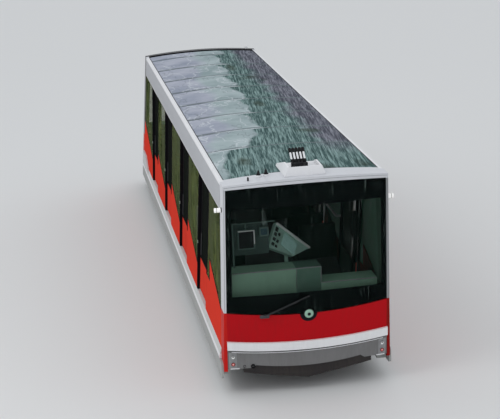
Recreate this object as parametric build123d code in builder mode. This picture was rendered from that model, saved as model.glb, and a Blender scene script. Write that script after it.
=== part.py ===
from build123d import *
import os
from math import atan2, cos, degrees, radians, sin, sqrt, tan

# A funicular car that works one line of constant slope, in millimetres.
# +Y runs along the track towards the downhill end, +Z is square to the track,
# X runs across it, and z = 0 is where the wheel flanges would touch a flat floor.
# The body is a slanting box: its posts stand upright when the car is on the slope.

os.makedirs("parts", exist_ok=True)

# Overall sizes
slope = 21.0
uphill_rake = 7.5
downhill_rake = 34.5
roof_length = 11580
roof_half_width = 1150
roof_edge_z = 3200
roof_crown = 60
tumblehome = 0.022
end_bulge = 90
uphill_roof_y = -6805

# Side walls, from the outside inwards
rail_bottom_z = 2780
sill_top_z = 670
panel_thickness = 32
window_thickness = 10
window_inset = 4
pane_gap = 1
door_recess = 40
door_thickness = 34
running_gap = 5
hang_gap = 0.3

# Doorways and the windows between them, measured along the roof edge
doorway_width = 1010
first_doorway_u = 1430
last_window_length = 1613
doorway_count = 4
doorway_pitch = (roof_length - last_window_length - first_doorway_u - doorway_width) / (doorway_count - 1)
door_lap = 30
near_post_width = 100
far_post_width = 80
far_post_depth = 76

# Red panels under the side windows
panel_low_z = 1150
panel_rise = 0.37
cab_panel_low_z = 1270
cab_panel_peak = 1150
cab_panel_peak_z = 1695
cab_panel_drop = 60
cab_panel_rest_z = 1330
last_panel_peak_z = 1750
door_panel_z = 1270

# Cant rails and the glazed roof
cant_rail_depth = 100
rail_overrun = 800
cant_lip = 30
cant_box_z = 2860
cant_crease_z = 2990
cant_crease_out = 8
cant_top_round = 15
glass_seat_width = 60
glass_seat_half_width = roof_half_width - glass_seat_width
roof_glass_thickness = 12
roof_glass_gap = 14
bow_width = 50
bow_height = 55
uphill_header_depth = 350
downhill_header_depth = 130
first_roof_pane = 1700
last_roof_pane = 1960
roof_seam_count = 7

# End walls, as heights on the face
windshield_top_z = 3135
windshield_top_crown = 40
windshield_bottom_z = 1310
windshield_sag = 85
windshield_thickness = 12
windshield_gap = 4
windshield_top_half = roof_half_width - 33
windshield_bottom_half = roof_half_width
pillar_depth = 280
end_panel_bottom_z = 868
end_panel_sag = 60
end_panel_thickness = 45
column_side_thickness = 38
column_inner_half = roof_half_width + 10
column_bottom_z = 390
bumper_height = 126
bumper_out = 45
bumper_in = 55
fascia_bottom_z = 428
fascia_thickness = 30
fascia_inset = 6
fascia_foot_half = roof_half_width - 330
fascia_foot_slant = 60
fascia_foot_rise = 42
plough_half = roof_half_width - 220
plough_top_z = 465
plough_side_z = 350
plough_tip_z = 205
plough_thickness = 25

# Headlight in the windshield's foot, and the lamps at the fascia's ends
headlight_z = 1228
headlight_disc = 125
headlight_ring = 75
lamp_x = roof_half_width - 65
white_lamp_z = 615
red_lamp_z = 505
lamp_radius = 30
lamp_depth = 20
headlight_out = 20

# Side sills
sill_bottom_z = 250
sill_inner_half = roof_half_width - 65
sill_out = 30
sill_band_z = 560
neck_start_u = roof_length + 320
neck_rise = 400
neck_top_z = 900
nose_u = 430
nose_length = 400
nose_top_z = 500
nose_round = 80

# Stepped floor: what each tread of the cab and of every bay carries, from uphill
floor_start_u = 450
floor_low_z = 700
floor_end_gap = 100
tail_length = 840
landing_tread = 990
landing_lead = 65
cab_plan = ["landing", "step", "step"]
bay_plan = ["landing", "bench", "legroom", "bench"]
floor_half_width = roof_half_width - 90
floor_plate = 30

# Underframe
beam_x = 280
beam_width = 80
beam_bottom_z = 470
beam_top_z = 630
cross_width = 120
bolster_width = 360
bearer_length = 110
frame_lead = 70
frame_tail = 1220
middle_members = 5

# Running gear
wheel_radius = 280
flange_height = 18
wheel_x = 530
tread_width = 110
flange_width = 22
flange_taper = 8
flange_edge = 6
roller_width = 170
wheelbase = 1300
bogie_u = [2950, roof_length - 630]
axle_radius = 65
journal_radius = 50
journal_play = 0.1
journal_half = 845
bogie_beam_x = 800
bogie_beam_width = 90
bogie_beam_bottom_z = 190
bogie_beam_top_z = 420
bogie_beam_half = 840
axle_box_radius = 115
axle_box_out = 12
axle_box_gap = 1
axle_end_play = 4
transom_half = 150
transom_bottom_z = 300
transom_top_z = 440
pivot_radius = 110
pivot_gap = 0.3

# Rail brakes: one on each bogie, over the rail that the flanged wheels run on
brake_length = 260
brake_yoke_z = 220
jaw_gap = 44
jaw_thickness = 40
jaw_bottom_z = 4

# Haul cable anchor
anchor_u = 820
anchor_z = 200
anchor_bore = 25
anchor_lug = 30
anchor_gap = 60
anchor_outer = 60

# Cabin fittings
bench_inner_x = 430
bench_outer_x = roof_half_width - 140
bench_gap = 2
bench_back_foot = 90
bench_back_top = 60
bench_seat = 430
bench_height = 420
bench_back = 880
desk_top_z = 1850
ledge_top_z = 1600
desk_gaps = {"uphill": 130, "downhill": 190}
desk_depth = 360
desk_side_x = 230
desk_outer_x = roof_half_width - 110
console_x = 120
console_reach = 360
console_z = 2013
console_turn = 40
console_tilt = 25
console_roll = 47
console_thickness = 60
console_shape = [(-290, 190), (415, 190), (165, -120), (-300, -255)]
console_arm_z = 1700
console_arm_radius = 28
console_arm_bend = 80
handrail_x = roof_half_width - 115
handrail_z = 1800
handrail_radius = 16
handrail_bend = 40
pole_offset = 300
pole_above = 30

# Roof equipment above the uphill header
tray_start_u = 20
tray_half_width = 290
tray_top_half = 235
tray_length = 700
tray_level_length = 350
tray_height = 125
tray_tail_height = 35
tray_wall = 22
tray_floor = 25
collector_x = -20
collector_u = 340
collector_arms = 5
collector_pitch = 46
collector_bar = 80
collector_foot = 50
collector_arm = 24
collector_length = 310
collector_tilt = 40
antenna_spots = [(-620, 210), (-510, 235)]
antenna_base_radius = 35
antenna_base_height = 30
antenna_cone_radius = 28
antenna_tip_radius = 9
antenna_cone_height = 60
corner_lamp_u = 180
corner_lamp_z = 2830
corner_lamp_reach = 100
corner_lamp_radius = 32

# Wipers, parked across the windshields' feet
wiper_pivot = (-626, 1236)
wiper_elbow = (-290, 1375)
wiper_tip = (15, 1495)
wiper_pivot_radius = 24
wiper_pivot_out = 30
wiper_arm_width = 22
wiper_arm_out = 26
wiper_arm_thickness = 14
wiper_arm_lap = 150
wiper_blade_width = 16
wiper_blade_out = 16

# Values that several pieces share
lean = tan(radians(slope))
rise_cos = cos(radians(slope))
rise_sin = sin(radians(slope))
tumble_cos = 1 / sqrt(1 + tumblehome**2)
axle_z = wheel_radius + flange_height
reach = 9000
bulge_radius = (roof_half_width**2 + end_bulge**2) / (2 * end_bulge)
crown_radius = (glass_seat_half_width**2 + roof_crown**2) / (2 * roof_crown)


def half_width(z):
    """Half the body's outer width at a height."""
    return roof_half_width + tumblehome * (roof_edge_z - z)


def place_y(u):
    """Row position of a distance along the roof edge from its uphill corner."""
    return uphill_roof_y + u


def side_point(u, z):
    """A point on the side wall's plane, moved along with the slanting posts."""
    depth = roof_edge_z - z
    return (u + depth * lean, -depth / tumble_cos)


def roof_arc_z(x, edge_z):
    """Height of the arched roof over a seat at edge_z."""
    return edge_z + roof_crown - (crown_radius - sqrt(crown_radius**2 - x**2))


right_side = Plane(
    origin=(roof_half_width, uphill_roof_y, roof_edge_z),
    x_dir=(0, 1, 0),
    z_dir=(1, 0, tumblehome),
)

# End walls: name, direction they face along Y, roof corner and rake
ends = {
    "uphill": (-1, place_y(0), tan(radians(uphill_rake))),
    "downhill": (1, place_y(roof_length), tan(radians(downhill_rake))),
}


def face_y(end, z, x=0):
    """Row position of an end wall's outer face."""
    side, corner_y, rake = ends[end]
    bulge = end_bulge - (bulge_radius - sqrt(bulge_radius**2 - x**2))
    return corner_y + (roof_edge_z - z) * rake + side * bulge


def end_shell(end, outline, out, thickness):
    """A curved, raked slab of an end wall, trimmed to an outline seen end on."""
    side, _, rake = ends[end]
    half = roof_half_width + 200
    top_z = roof_edge_z + 200
    outer = [(x, face_y(end, top_z, x) + side * out) for x in (-half, 0, half)]
    inner = [(x, y - side * thickness) for x, y in outer]
    with BuildPart() as shell:
        with BuildSketch(Plane.XY.offset(top_z)):
            with BuildLine():
                ThreePointArc(*outer)
                Line(outer[2], inner[2])
                ThreePointArc(*reversed(inner))
                Line(inner[0], outer[0])
            make_face()
        extrude(amount=top_z * sqrt(1 + rake**2), dir=(0, rake, -1))
        extrude(outline, amount=reach, both=True, mode=Mode.INTERSECT)
    return shell.part


def save(piece, node):
    piece.part.label = node
    export_step(piece.part, f"parts/{node}.step")


# Zones along each side: uphill edge and downhill edge of every doorway
doorways = [
    (first_doorway_u + i * doorway_pitch, first_doorway_u + i * doorway_pitch + doorway_width)
    for i in range(doorway_count)
]


def pillar_edge_u(z):
    """Rear edge of the uphill corner pillar, along the side wall."""
    return (roof_edge_z - z) * tan(radians(uphill_rake)) + pillar_depth


def tail_edge_u(z):
    """Front edge of the downhill corner pillar, along the side wall."""
    return roof_length + (roof_edge_z - z) * tan(radians(downhill_rake)) - pillar_depth


def post_u(u, z):
    return u + (roof_edge_z - z) * lean


def panel_top_z(edge_u, u):
    """Height of a red panel's sloping top edge, which is level on the slope."""
    return panel_low_z + panel_rise * (u - edge_u)


def sloped_corner(edge_u, post):
    """Where a sloping top edge from edge_u meets a slanting post."""
    rise = panel_rise * (post + roof_edge_z * lean - edge_u) + panel_low_z
    z = rise / (1 + panel_rise * lean)
    return post_u(post, z), z


# Each window zone: outline of the red panel's top edge from uphill to downhill, as (u, z)
def zone_edges(i):
    """Uphill and downhill edge functions of window zone i."""
    if i == 0:
        start = lambda z: pillar_edge_u(z) + pane_gap
    else:
        start = lambda z: post_u(doorways[i - 1][1] + far_post_width + pane_gap, z)
    if i == doorway_count:
        stop = lambda z: tail_edge_u(z) - pane_gap
    else:
        stop = lambda z: post_u(doorways[i][0] - near_post_width - pane_gap, z)
    return start, stop


def panel_top(i):
    start, stop = zone_edges(i)
    if i == 0:
        low_u = start(cab_panel_low_z)
        return [
            (low_u, cab_panel_low_z),
            (low_u + cab_panel_peak, cab_panel_peak_z),
            (low_u + cab_panel_peak + cab_panel_drop, cab_panel_rest_z),
            (stop(cab_panel_rest_z), cab_panel_rest_z),
        ]
    low_u = start(panel_low_z)
    if i == doorway_count:
        high_z = panel_top_z(low_u, tail_edge_u(last_panel_peak_z))
        return [(low_u, panel_low_z), (stop(high_z), high_z)]
    high_u, high_z = sloped_corner(low_u, doorways[i][0] - near_post_width - pane_gap)
    return [(low_u, panel_low_z), (high_u, high_z)]


def side_local(points):
    return [(u, -(roof_edge_z - z) / tumble_cos) for u, z in points]


# Red panels under the side windows, drawn a little long and trimmed level on the sill
foot_z = sill_top_z - 10
with BuildPart() as side_panels:
    for i in range(doorway_count + 1):
        start, stop = zone_edges(i)
        foot = [(start(foot_z), foot_z)]
        with BuildSketch(right_side):
            Polygon(*side_local(foot + panel_top(i) + [(stop(foot_z), foot_z)]), align=None)
        extrude(amount=-panel_thickness)
    split(bisect_by=Plane.XY.offset(sill_top_z), keep=Keep.TOP)
    mirror(about=Plane.YZ)
save(side_panels, "side_panels")

# Side windows, which stand on the panels' sloping edges
with BuildPart() as side_windows:
    for i in range(doorway_count + 1):
        start, stop = zone_edges(i)
        top_edge = [(stop(rail_bottom_z), rail_bottom_z), (start(rail_bottom_z), rail_bottom_z)]
        with BuildSketch(right_side.offset(-window_inset)):
            Polygon(*side_local(panel_top(i) + top_edge), align=None)
        extrude(amount=-window_thickness)
    mirror(about=Plane.YZ)
save(side_windows, "side_windows")

# Black posts that frame each doorway
with BuildPart() as door_posts:
    for near_u, far_u in doorways:
        for low_u, high_u, depth in (
            (near_u - near_post_width, near_u, panel_thickness),
            (far_u, far_u + far_post_width, far_post_depth),
        ):
            with BuildSketch(right_side):
                Polygon(
                    side_point(low_u, foot_z),
                    side_point(high_u, foot_z),
                    side_point(high_u, rail_bottom_z),
                    side_point(low_u, rail_bottom_z),
                    align=None,
                )
            extrude(amount=-depth)
    split(bisect_by=Plane.XY.offset(sill_top_z), keep=Keep.TOP)
    mirror(about=Plane.YZ)
save(door_posts, "door_posts")

# Sliding door leaves, hung from the cant rails and running inside the wall
leaf_bottom_z = sill_top_z + 20
leaf_top_z = cant_box_z - 30
leaf_stile = 70
leaf_rail_z = rail_bottom_z - 60
hanger_width = 120
hanger_thickness = 20
hanger_offset = 150
hanger_inset = door_recess + (door_thickness - hanger_thickness) / 2
hanger_top_z = cant_box_z - hang_gap + hanger_inset * tumblehome
glass_lap = 12
for number, (near_u, far_u) in enumerate(doorways, start=1):
    leaf_near = near_u - door_lap
    leaf_far = far_u - running_gap - 1
    with BuildPart() as leaf:
        with BuildSketch(right_side.offset(-door_recess)):
            Polygon(
                side_point(leaf_near, leaf_bottom_z),
                side_point(leaf_far, leaf_bottom_z),
                side_point(leaf_far, leaf_top_z),
                side_point(leaf_near, leaf_top_z),
                align=None,
            )
        extrude(amount=-door_thickness)
        with BuildSketch(right_side):
            Polygon(
                side_point(leaf_near + leaf_stile + door_lap, door_panel_z),
                side_point(leaf_far - leaf_stile, door_panel_z),
                side_point(leaf_far - leaf_stile, leaf_rail_z),
                side_point(leaf_near + leaf_stile + door_lap, leaf_rail_z),
                align=None,
            )
        extrude(amount=-2 * far_post_depth, mode=Mode.SUBTRACT)
        for hanger_u in (leaf_near + hanger_offset, leaf_far - hanger_offset - hanger_width):
            with BuildSketch(right_side.offset(-hanger_inset)):
                Polygon(
                    side_point(hanger_u, leaf_top_z - 1),
                    side_point(hanger_u + hanger_width, leaf_top_z - 1),
                    side_point(hanger_u + hanger_width, hanger_top_z),
                    side_point(hanger_u, hanger_top_z),
                    align=None,
                )
            extrude(amount=-hanger_thickness)
    with BuildPart() as pane:
        with BuildSketch(right_side.offset(-door_recess - (door_thickness - window_thickness) / 2)):
            Polygon(
                side_point(leaf_near + leaf_stile + door_lap, door_panel_z),
                side_point(leaf_far - leaf_stile, door_panel_z),
                side_point(leaf_far - leaf_stile, leaf_rail_z),
                side_point(leaf_near + leaf_stile + door_lap, leaf_rail_z),
                align=None,
            )
        extrude(amount=-window_thickness)
    save(leaf, f"right_door_{number}")
    save(pane, f"right_door_glass_{number}")
    with BuildPart() as left_leaf:
        add(mirror(leaf.part, about=Plane.YZ, mode=Mode.PRIVATE))
    with BuildPart() as left_pane:
        add(mirror(pane.part, about=Plane.YZ, mode=Mode.PRIVATE))
    save(left_leaf, f"left_door_{number}")
    save(left_pane, f"left_door_glass_{number}")

# Cant rails along both roof edges
with BuildPart() as cant_rails:
    with BuildSketch(Plane.XZ.offset(-place_y(-rail_overrun))):
        with BuildLine():
            Polyline(
                (half_width(rail_bottom_z), rail_bottom_z),
                (half_width(cant_crease_z) + cant_crease_out, cant_crease_z),
                (roof_half_width, roof_edge_z - cant_top_round),
                (roof_half_width - cant_top_round, roof_edge_z),
                (glass_seat_half_width, roof_edge_z),
                (glass_seat_half_width, roof_edge_z - roof_glass_thickness - 2),
                (roof_half_width - cant_rail_depth, roof_edge_z - roof_glass_thickness - 2),
                (roof_half_width - cant_rail_depth, cant_box_z),
                (half_width(cant_box_z) - cant_lip, cant_box_z),
                (half_width(rail_bottom_z) - cant_lip, rail_bottom_z),
                close=True,
            )
        make_face()
    extrude(amount=-(roof_length + 2 * rail_overrun))
    with BuildSketch(Plane.YZ):
        Polygon(
            (place_y(pillar_edge_u(roof_edge_z)), roof_edge_z),
            (place_y(pillar_edge_u(rail_bottom_z - 100)), rail_bottom_z - 100),
            (place_y(tail_edge_u(rail_bottom_z - 100)), rail_bottom_z - 100),
            (place_y(tail_edge_u(roof_edge_z)), roof_edge_z),
            align=None,
        )
    extrude(amount=2 * roof_half_width, both=True, mode=Mode.INTERSECT)
    mirror(about=Plane.YZ)
save(cant_rails, "cant_rails")

# Roof panes and the bows under their seams
first_seam = uphill_header_depth + first_roof_pane
last_seam = roof_length - downhill_header_depth - last_roof_pane
seam_pitch = (last_seam - first_seam) / (roof_seam_count - 1)
seams = [first_seam + i * seam_pitch for i in range(roof_seam_count)]
pane_edges = [uphill_header_depth] + seams + [roof_length - downhill_header_depth]
glass_edge_z = roof_edge_z - 2
glass_under_z = glass_edge_z - roof_glass_thickness


def roof_strip(start_u, stop_u, half, edge_z, thickness):
    """An arched strip of roof between two places along it."""
    top = [(-half, roof_arc_z(half, edge_z)), (0, edge_z + roof_crown), (half, roof_arc_z(half, edge_z))]
    low = [(x, z - thickness) for x, z in top]
    with BuildPart() as strip:
        with BuildSketch(Plane.XZ.offset(-place_y(start_u))):
            with BuildLine():
                ThreePointArc(*top)
                Line(top[2], low[2])
                ThreePointArc(*reversed(low))
                Line(low[0], top[0])
            make_face()
        extrude(amount=-(stop_u - start_u))
    return strip.part


pane_parts = [
    roof_strip(
        start + roof_glass_gap / 2 * (i > 0),
        stop - roof_glass_gap / 2 * (i < len(seams)),
        glass_seat_half_width - 1,
        glass_edge_z,
        roof_glass_thickness,
    )
    for i, (start, stop) in enumerate(zip(pane_edges, pane_edges[1:]))
]
with BuildPart() as roof_glass:
    for part in pane_parts:
        add(part)
save(roof_glass, "roof_glass")

bow_parts = [
    roof_strip(u - bow_width / 2, u + bow_width / 2, roof_half_width - cant_rail_depth, glass_under_z, bow_height)
    for u in seams
]
with BuildPart() as roof_bows:
    for part in bow_parts:
        add(part)
save(roof_bows, "roof_bows")


# Outlines of the end wall's pieces, seen end on
def windshield_outline(grow):
    """The one-piece windshield, or its opening when grown."""
    top_half = windshield_top_half + grow
    bottom_half = windshield_bottom_half + grow
    top_z = windshield_top_z + grow
    bottom_z = windshield_bottom_z - grow
    with BuildSketch(Plane.XZ) as outline:
        with BuildLine():
            ThreePointArc((-bottom_half, bottom_z), (0, bottom_z - windshield_sag), (bottom_half, bottom_z))
            Line((bottom_half, bottom_z), (top_half, top_z))
            ThreePointArc((top_half, top_z), (0, top_z + windshield_top_crown), (-top_half, top_z))
            Line((-top_half, top_z), (-bottom_half, bottom_z))
        make_face()
    return outline.sketch


def wall_slice(end, depth, low_z, high_z):
    """Side outline of what lies within a depth of a raked end wall."""
    side, corner_y, rake = ends[end]
    low_y = corner_y + (roof_edge_z - low_z) * rake
    high_y = corner_y + (roof_edge_z - high_z) * rake
    with BuildSketch(Plane.YZ) as slice_outline:
        Polygon(
            (low_y + side * 2 * end_bulge, low_z),
            (low_y - side * depth, low_z),
            (high_y - side * depth, high_z),
            (high_y + side * 2 * end_bulge, high_z),
            align=None,
        )
    return slice_outline.sketch


header_low_z = windshield_top_z + windshield_gap
with BuildSketch(Plane.XZ) as frame_outline:
    with BuildLine():
        Polyline(
            (-roof_half_width, roof_edge_z),
            (-half_width(windshield_bottom_z), windshield_bottom_z),
            (half_width(windshield_bottom_z), windshield_bottom_z),
            (roof_half_width, roof_edge_z),
        )
        ThreePointArc(
            (roof_half_width, roof_edge_z), (0, roof_edge_z + roof_crown), (-roof_half_width, roof_edge_z)
        )
    make_face()
    add(windshield_outline(windshield_gap), mode=Mode.SUBTRACT)

with BuildSketch(Plane.XZ) as header_outline:
    seat_z = roof_edge_z - roof_glass_thickness - 2
    with BuildLine():
        ThreePointArc(
            (roof_half_width, roof_edge_z), (0, roof_edge_z + roof_crown), (-roof_half_width, roof_edge_z)
        )
        Line((-roof_half_width, roof_edge_z), (-windshield_top_half, header_low_z))
        ThreePointArc(
            (-windshield_top_half, header_low_z),
            (0, header_low_z + windshield_top_crown),
            (windshield_top_half, header_low_z),
        )
        Line((windshield_top_half, header_low_z), (roof_half_width, roof_edge_z))
    make_face()
    for side, inner in ((1, Align.MIN), (-1, Align.MAX)):
        with Locations((side * glass_seat_half_width, seat_z)):
            Rectangle(cant_rail_depth, cant_rail_depth, align=(inner, Align.MIN), mode=Mode.SUBTRACT)
        with Locations((side * (roof_half_width - cant_rail_depth), seat_z)):
            Rectangle(cant_rail_depth, cant_rail_depth, align=(inner, Align.MAX), mode=Mode.SUBTRACT)

frame_parts = []
for end, (side, corner_y, rake) in ends.items():
    with BuildPart() as portal:
        add(end_shell(end, frame_outline.sketch, 0, pillar_depth + 2 * end_bulge))
        extrude(
            wall_slice(end, pillar_depth, windshield_bottom_z, roof_edge_z + 2 * roof_crown),
            amount=2 * roof_half_width,
            both=True,
            mode=Mode.INTERSECT,
        )
    frame_parts.append(portal.part)

# The uphill header reaches further back, over the first roof pane's edge
with BuildPart() as deep_header:
    add(end_shell("uphill", header_outline.sketch, 0, uphill_header_depth + 2 * end_bulge))
    split(bisect_by=Plane.XZ.offset(-place_y(uphill_header_depth)), keep=Keep.TOP)
# The downhill header is cut down to carry the last roof pane's edge
last_pane_seat = roof_strip(
    roof_length - 2 * pillar_depth,
    roof_length - downhill_header_depth + pane_gap,
    glass_seat_half_width,
    glass_edge_z + roof_crown,
    roof_glass_thickness + roof_crown,
)
with BuildPart() as end_frames:
    for part in frame_parts:
        add(part)
    add(deep_header.part)
    add(last_pane_seat, mode=Mode.SUBTRACT)
save(end_frames, "end_frames")

with BuildPart() as windshields:
    for end in ends:
        add(end_shell(end, windshield_outline(0), 0, windshield_thickness))
save(windshields, "windshields")

# Red end panels with the columns that run down beside the bumper
panel_top_gap = windshield_gap
with BuildSketch(Plane.XZ) as panel_outline:
    top_z = windshield_bottom_z - panel_top_gap
    with BuildLine():
        ThreePointArc(
            (-half_width(top_z), top_z), (0, top_z - windshield_sag), (half_width(top_z), top_z)
        )
        Polyline(
            (half_width(top_z), top_z),
            (half_width(column_bottom_z), column_bottom_z),
            (column_inner_half, column_bottom_z),
            (column_inner_half, end_panel_bottom_z),
        )
        ThreePointArc(
            (column_inner_half, end_panel_bottom_z),
            (0, end_panel_bottom_z - end_panel_sag),
            (-column_inner_half, end_panel_bottom_z),
        )
        Polyline(
            (-column_inner_half, end_panel_bottom_z),
            (-column_inner_half, column_bottom_z),
            (-half_width(column_bottom_z), column_bottom_z),
            (-half_width(top_z), top_z),
        )
    make_face()
    with Locations((0, headlight_z)):
        Circle(headlight_disc, mode=Mode.SUBTRACT)

with BuildSketch(Plane.XZ) as return_outline:
    for side in (1, -1):
        Polygon(
            (side * half_width(top_z), top_z),
            (side * half_width(column_bottom_z), column_bottom_z),
            (side * (half_width(column_bottom_z) - column_side_thickness), column_bottom_z),
            (side * (half_width(top_z) - column_side_thickness), top_z),
            align=None,
        )

panel_parts = []
for end in ends:
    with BuildPart() as returns:
        add(end_shell(end, return_outline.sketch, 0, pillar_depth + 2 * end_bulge))
        extrude(
            wall_slice(end, pillar_depth, 0, roof_edge_z),
            amount=2 * roof_half_width,
            both=True,
            mode=Mode.INTERSECT,
        )
    panel_parts += [end_shell(end, panel_outline.sketch, 0, end_panel_thickness), returns.part]
with BuildPart() as end_panels:
    for part in panel_parts:
        add(part)
save(end_panels, "end_panels")


def arched_band(half, top_z, sag, height):
    """A band across the end wall whose edges sag to the middle."""
    with BuildSketch(Plane.XZ) as band:
        with BuildLine():
            ThreePointArc((-half, top_z), (0, top_z - sag), (half, top_z))
            Line((half, top_z), (half, top_z - height))
            ThreePointArc((half, top_z - height), (0, top_z - height - sag), (-half, top_z - height))
            Line((-half, top_z - height), (-half, top_z))
        make_face()
    return band.sketch


bumper_top_z = end_panel_bottom_z
bumper_half = column_inner_half
with BuildPart() as bumper_strips:
    for end in ends:
        add(end_shell(end, arched_band(bumper_half, bumper_top_z, end_panel_sag, bumper_height),
                      bumper_out, bumper_out + bumper_in))
save(bumper_strips, "bumper_strips")

fascia_top_z = bumper_top_z - bumper_height
with BuildSketch(Plane.XZ) as fascia_outline:
    with BuildLine():
        ThreePointArc(
            (-bumper_half, fascia_top_z), (0, fascia_top_z - end_panel_sag), (bumper_half, fascia_top_z)
        )
        Polyline(
            (bumper_half, fascia_top_z),
            (bumper_half, fascia_bottom_z),
            (fascia_foot_half, fascia_bottom_z),
            (fascia_foot_half - fascia_foot_slant, fascia_bottom_z + fascia_foot_rise),
        )
        ThreePointArc(
            (fascia_foot_half - fascia_foot_slant, fascia_bottom_z + fascia_foot_rise),
            (0, fascia_bottom_z + fascia_foot_rise - end_panel_sag),
            (fascia_foot_slant - fascia_foot_half, fascia_bottom_z + fascia_foot_rise),
        )
        Polyline(
            (fascia_foot_slant - fascia_foot_half, fascia_bottom_z + fascia_foot_rise),
            (-fascia_foot_half, fascia_bottom_z),
            (-bumper_half, fascia_bottom_z),
            (-bumper_half, fascia_top_z),
        )
    make_face()
with BuildPart() as fascias:
    for end in ends:
        add(end_shell(end, fascia_outline.sketch, -fascia_inset, fascia_thickness))
save(fascias, "fascias")

with BuildSketch(Plane.XZ) as plough_outline:
    Polygon(
        (-plough_half, plough_top_z),
        (-plough_half, plough_side_z),
        (0, plough_tip_z),
        (plough_half, plough_side_z),
        (plough_half, plough_top_z),
        align=None,
    )
with BuildPart() as ploughs:
    for end in ends:
        add(end_shell(end, plough_outline.sketch, -fascia_inset - fascia_thickness, plough_thickness))
save(ploughs, "ploughs")

# Headlights in a black disc at the windshield's foot
with BuildSketch(Plane.XZ) as disc_outline:
    with Locations((0, headlight_z)):
        Circle(headlight_disc)
    add(windshield_outline(windshield_gap), mode=Mode.SUBTRACT)
with BuildSketch(Plane.XZ) as ring_outline:
    with Locations((0, headlight_z)):
        Circle(headlight_ring)
with BuildPart() as headlights:
    for end in ends:
        add(end_shell(end, disc_outline.sketch, 0, end_panel_thickness))
        add(end_shell(end, ring_outline.sketch, headlight_out, headlight_out))
save(headlights, "headlights")

with BuildSketch(Plane.XZ) as lamp_outline:
    with Locations(
        *[(side * lamp_x, z) for side in (1, -1) for z in (white_lamp_z, red_lamp_z)]
    ):
        Circle(lamp_radius)
with BuildPart() as end_lamps:
    for end in ends:
        add(end_shell(end, lamp_outline.sketch, lamp_depth - fascia_inset, lamp_depth))
save(end_lamps, "end_lamps")

# Side sills, raised outside the wall at their downhill end
with BuildPart() as side_sills:
    with BuildSketch(Plane.XZ.offset(-place_y(0))):
        Polygon(
            (sill_inner_half, sill_bottom_z),
            (half_width(sill_band_z) + sill_out, sill_bottom_z),
            (half_width(sill_band_z) + sill_out, sill_band_z),
            (half_width(sill_top_z), sill_top_z),
            (sill_inner_half, sill_top_z),
            align=None,
        )
    extrude(amount=-tail_edge_u(0))
    with BuildSketch(Plane.YZ):
        Polygon(
            (place_y(pillar_edge_u(0)), 0),
            (place_y(tail_edge_u(0)), 0),
            (place_y(tail_edge_u(roof_edge_z)), roof_edge_z),
            (place_y(pillar_edge_u(roof_edge_z)), roof_edge_z),
            align=None,
        )
    extrude(amount=2 * roof_half_width, mode=Mode.INTERSECT)
    with BuildSketch(right_side):
        Polygon(
            *side_local(
                [
                    (neck_start_u, sill_top_z),
                    (neck_start_u + neck_rise, neck_top_z),
                    (tail_edge_u(neck_top_z), neck_top_z),
                    (tail_edge_u(sill_band_z), sill_band_z),
                    (neck_start_u, sill_band_z),
                ]
            ),
            align=None,
        )
        # The rounded nose beside the column at the uphill end
        with BuildSketch(mode=Mode.PRIVATE) as nose:
            Polygon(
                *side_local(
                    [
                        (nose_u, nose_top_z),
                        (nose_u + nose_length, nose_top_z),
                        (nose_u + nose_length, sill_bottom_z),
                        (nose_u, sill_bottom_z),
                    ]
                ),
                align=None,
            )
            fillet(nose.vertices().group_by(Axis.X)[0], radius=nose_round)
        add(nose.sketch)
    extrude(amount=sill_out)
    mirror(about=Plane.YZ)
save(side_sills, "side_sills")


# The stepped floor: treads are level and risers upright when the car is on the slope
def level_point(origin, across, up):
    """A point given by its level and upright distances from another one."""
    return (
        origin[0] + across * rise_cos - up * rise_sin,
        origin[1] + across * rise_sin + up * rise_cos,
    )


def flight(start_u, stop_u, plan):
    """Treads (use, uphill edge, length, riser) that lead along the slope between two places."""
    riser = (stop_u - start_u) * rise_sin / len(plan)
    step = ((stop_u - start_u) * rise_cos - landing_tread) / (len(plan) - 1)
    edge = (place_y(start_u), floor_low_z)
    rows = []
    for use in plan:
        length = landing_tread if use == "landing" else step
        rows.append((use, edge, length, riser))
        edge = level_point(edge, length, -riser)
    return rows


tail_rake = ends["downhill"][2]
tail_end_u = roof_length + (roof_edge_z - floor_low_z) * tail_rake - floor_end_gap
landing_u = [post_u(near_u, floor_low_z) - landing_lead for near_u, _ in doorways]
bay_ends = landing_u[1:] + [tail_end_u - tail_length]
floor_rows = flight(floor_start_u, landing_u[0], cab_plan)
for start_u, stop_u in zip(landing_u, bay_ends):
    floor_rows += flight(start_u, stop_u, bay_plan)

# The last tread runs to the downhill end wall
tail_edge = (place_y(bay_ends[-1]), floor_low_z)
tail_tread = tail_length / (rise_cos + tail_rake * rise_sin)

with BuildPart() as floor_treads:
    for edge, length in [row[1:3] for row in floor_rows] + [(tail_edge, tail_tread)]:
        with BuildSketch(Plane.YZ):
            Polygon(
                edge,
                level_point(edge, length, 0),
                level_point(edge, length, -floor_plate),
                level_point(edge, 0, -floor_plate),
                align=None,
            )
        extrude(amount=floor_half_width, both=True)
save(floor_treads, "floor_treads")

with BuildPart() as floor_risers:
    for _, edge, length, riser in floor_rows:
        with BuildSketch(Plane.YZ):
            Polygon(
                level_point(edge, length - floor_plate, -floor_plate),
                level_point(edge, length, -floor_plate),
                level_point(edge, length, -riser - floor_plate),
                level_point(edge, length - floor_plate, -riser - floor_plate),
                align=None,
            )
        extrude(amount=floor_half_width, both=True)
save(floor_risers, "floor_risers")

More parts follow.
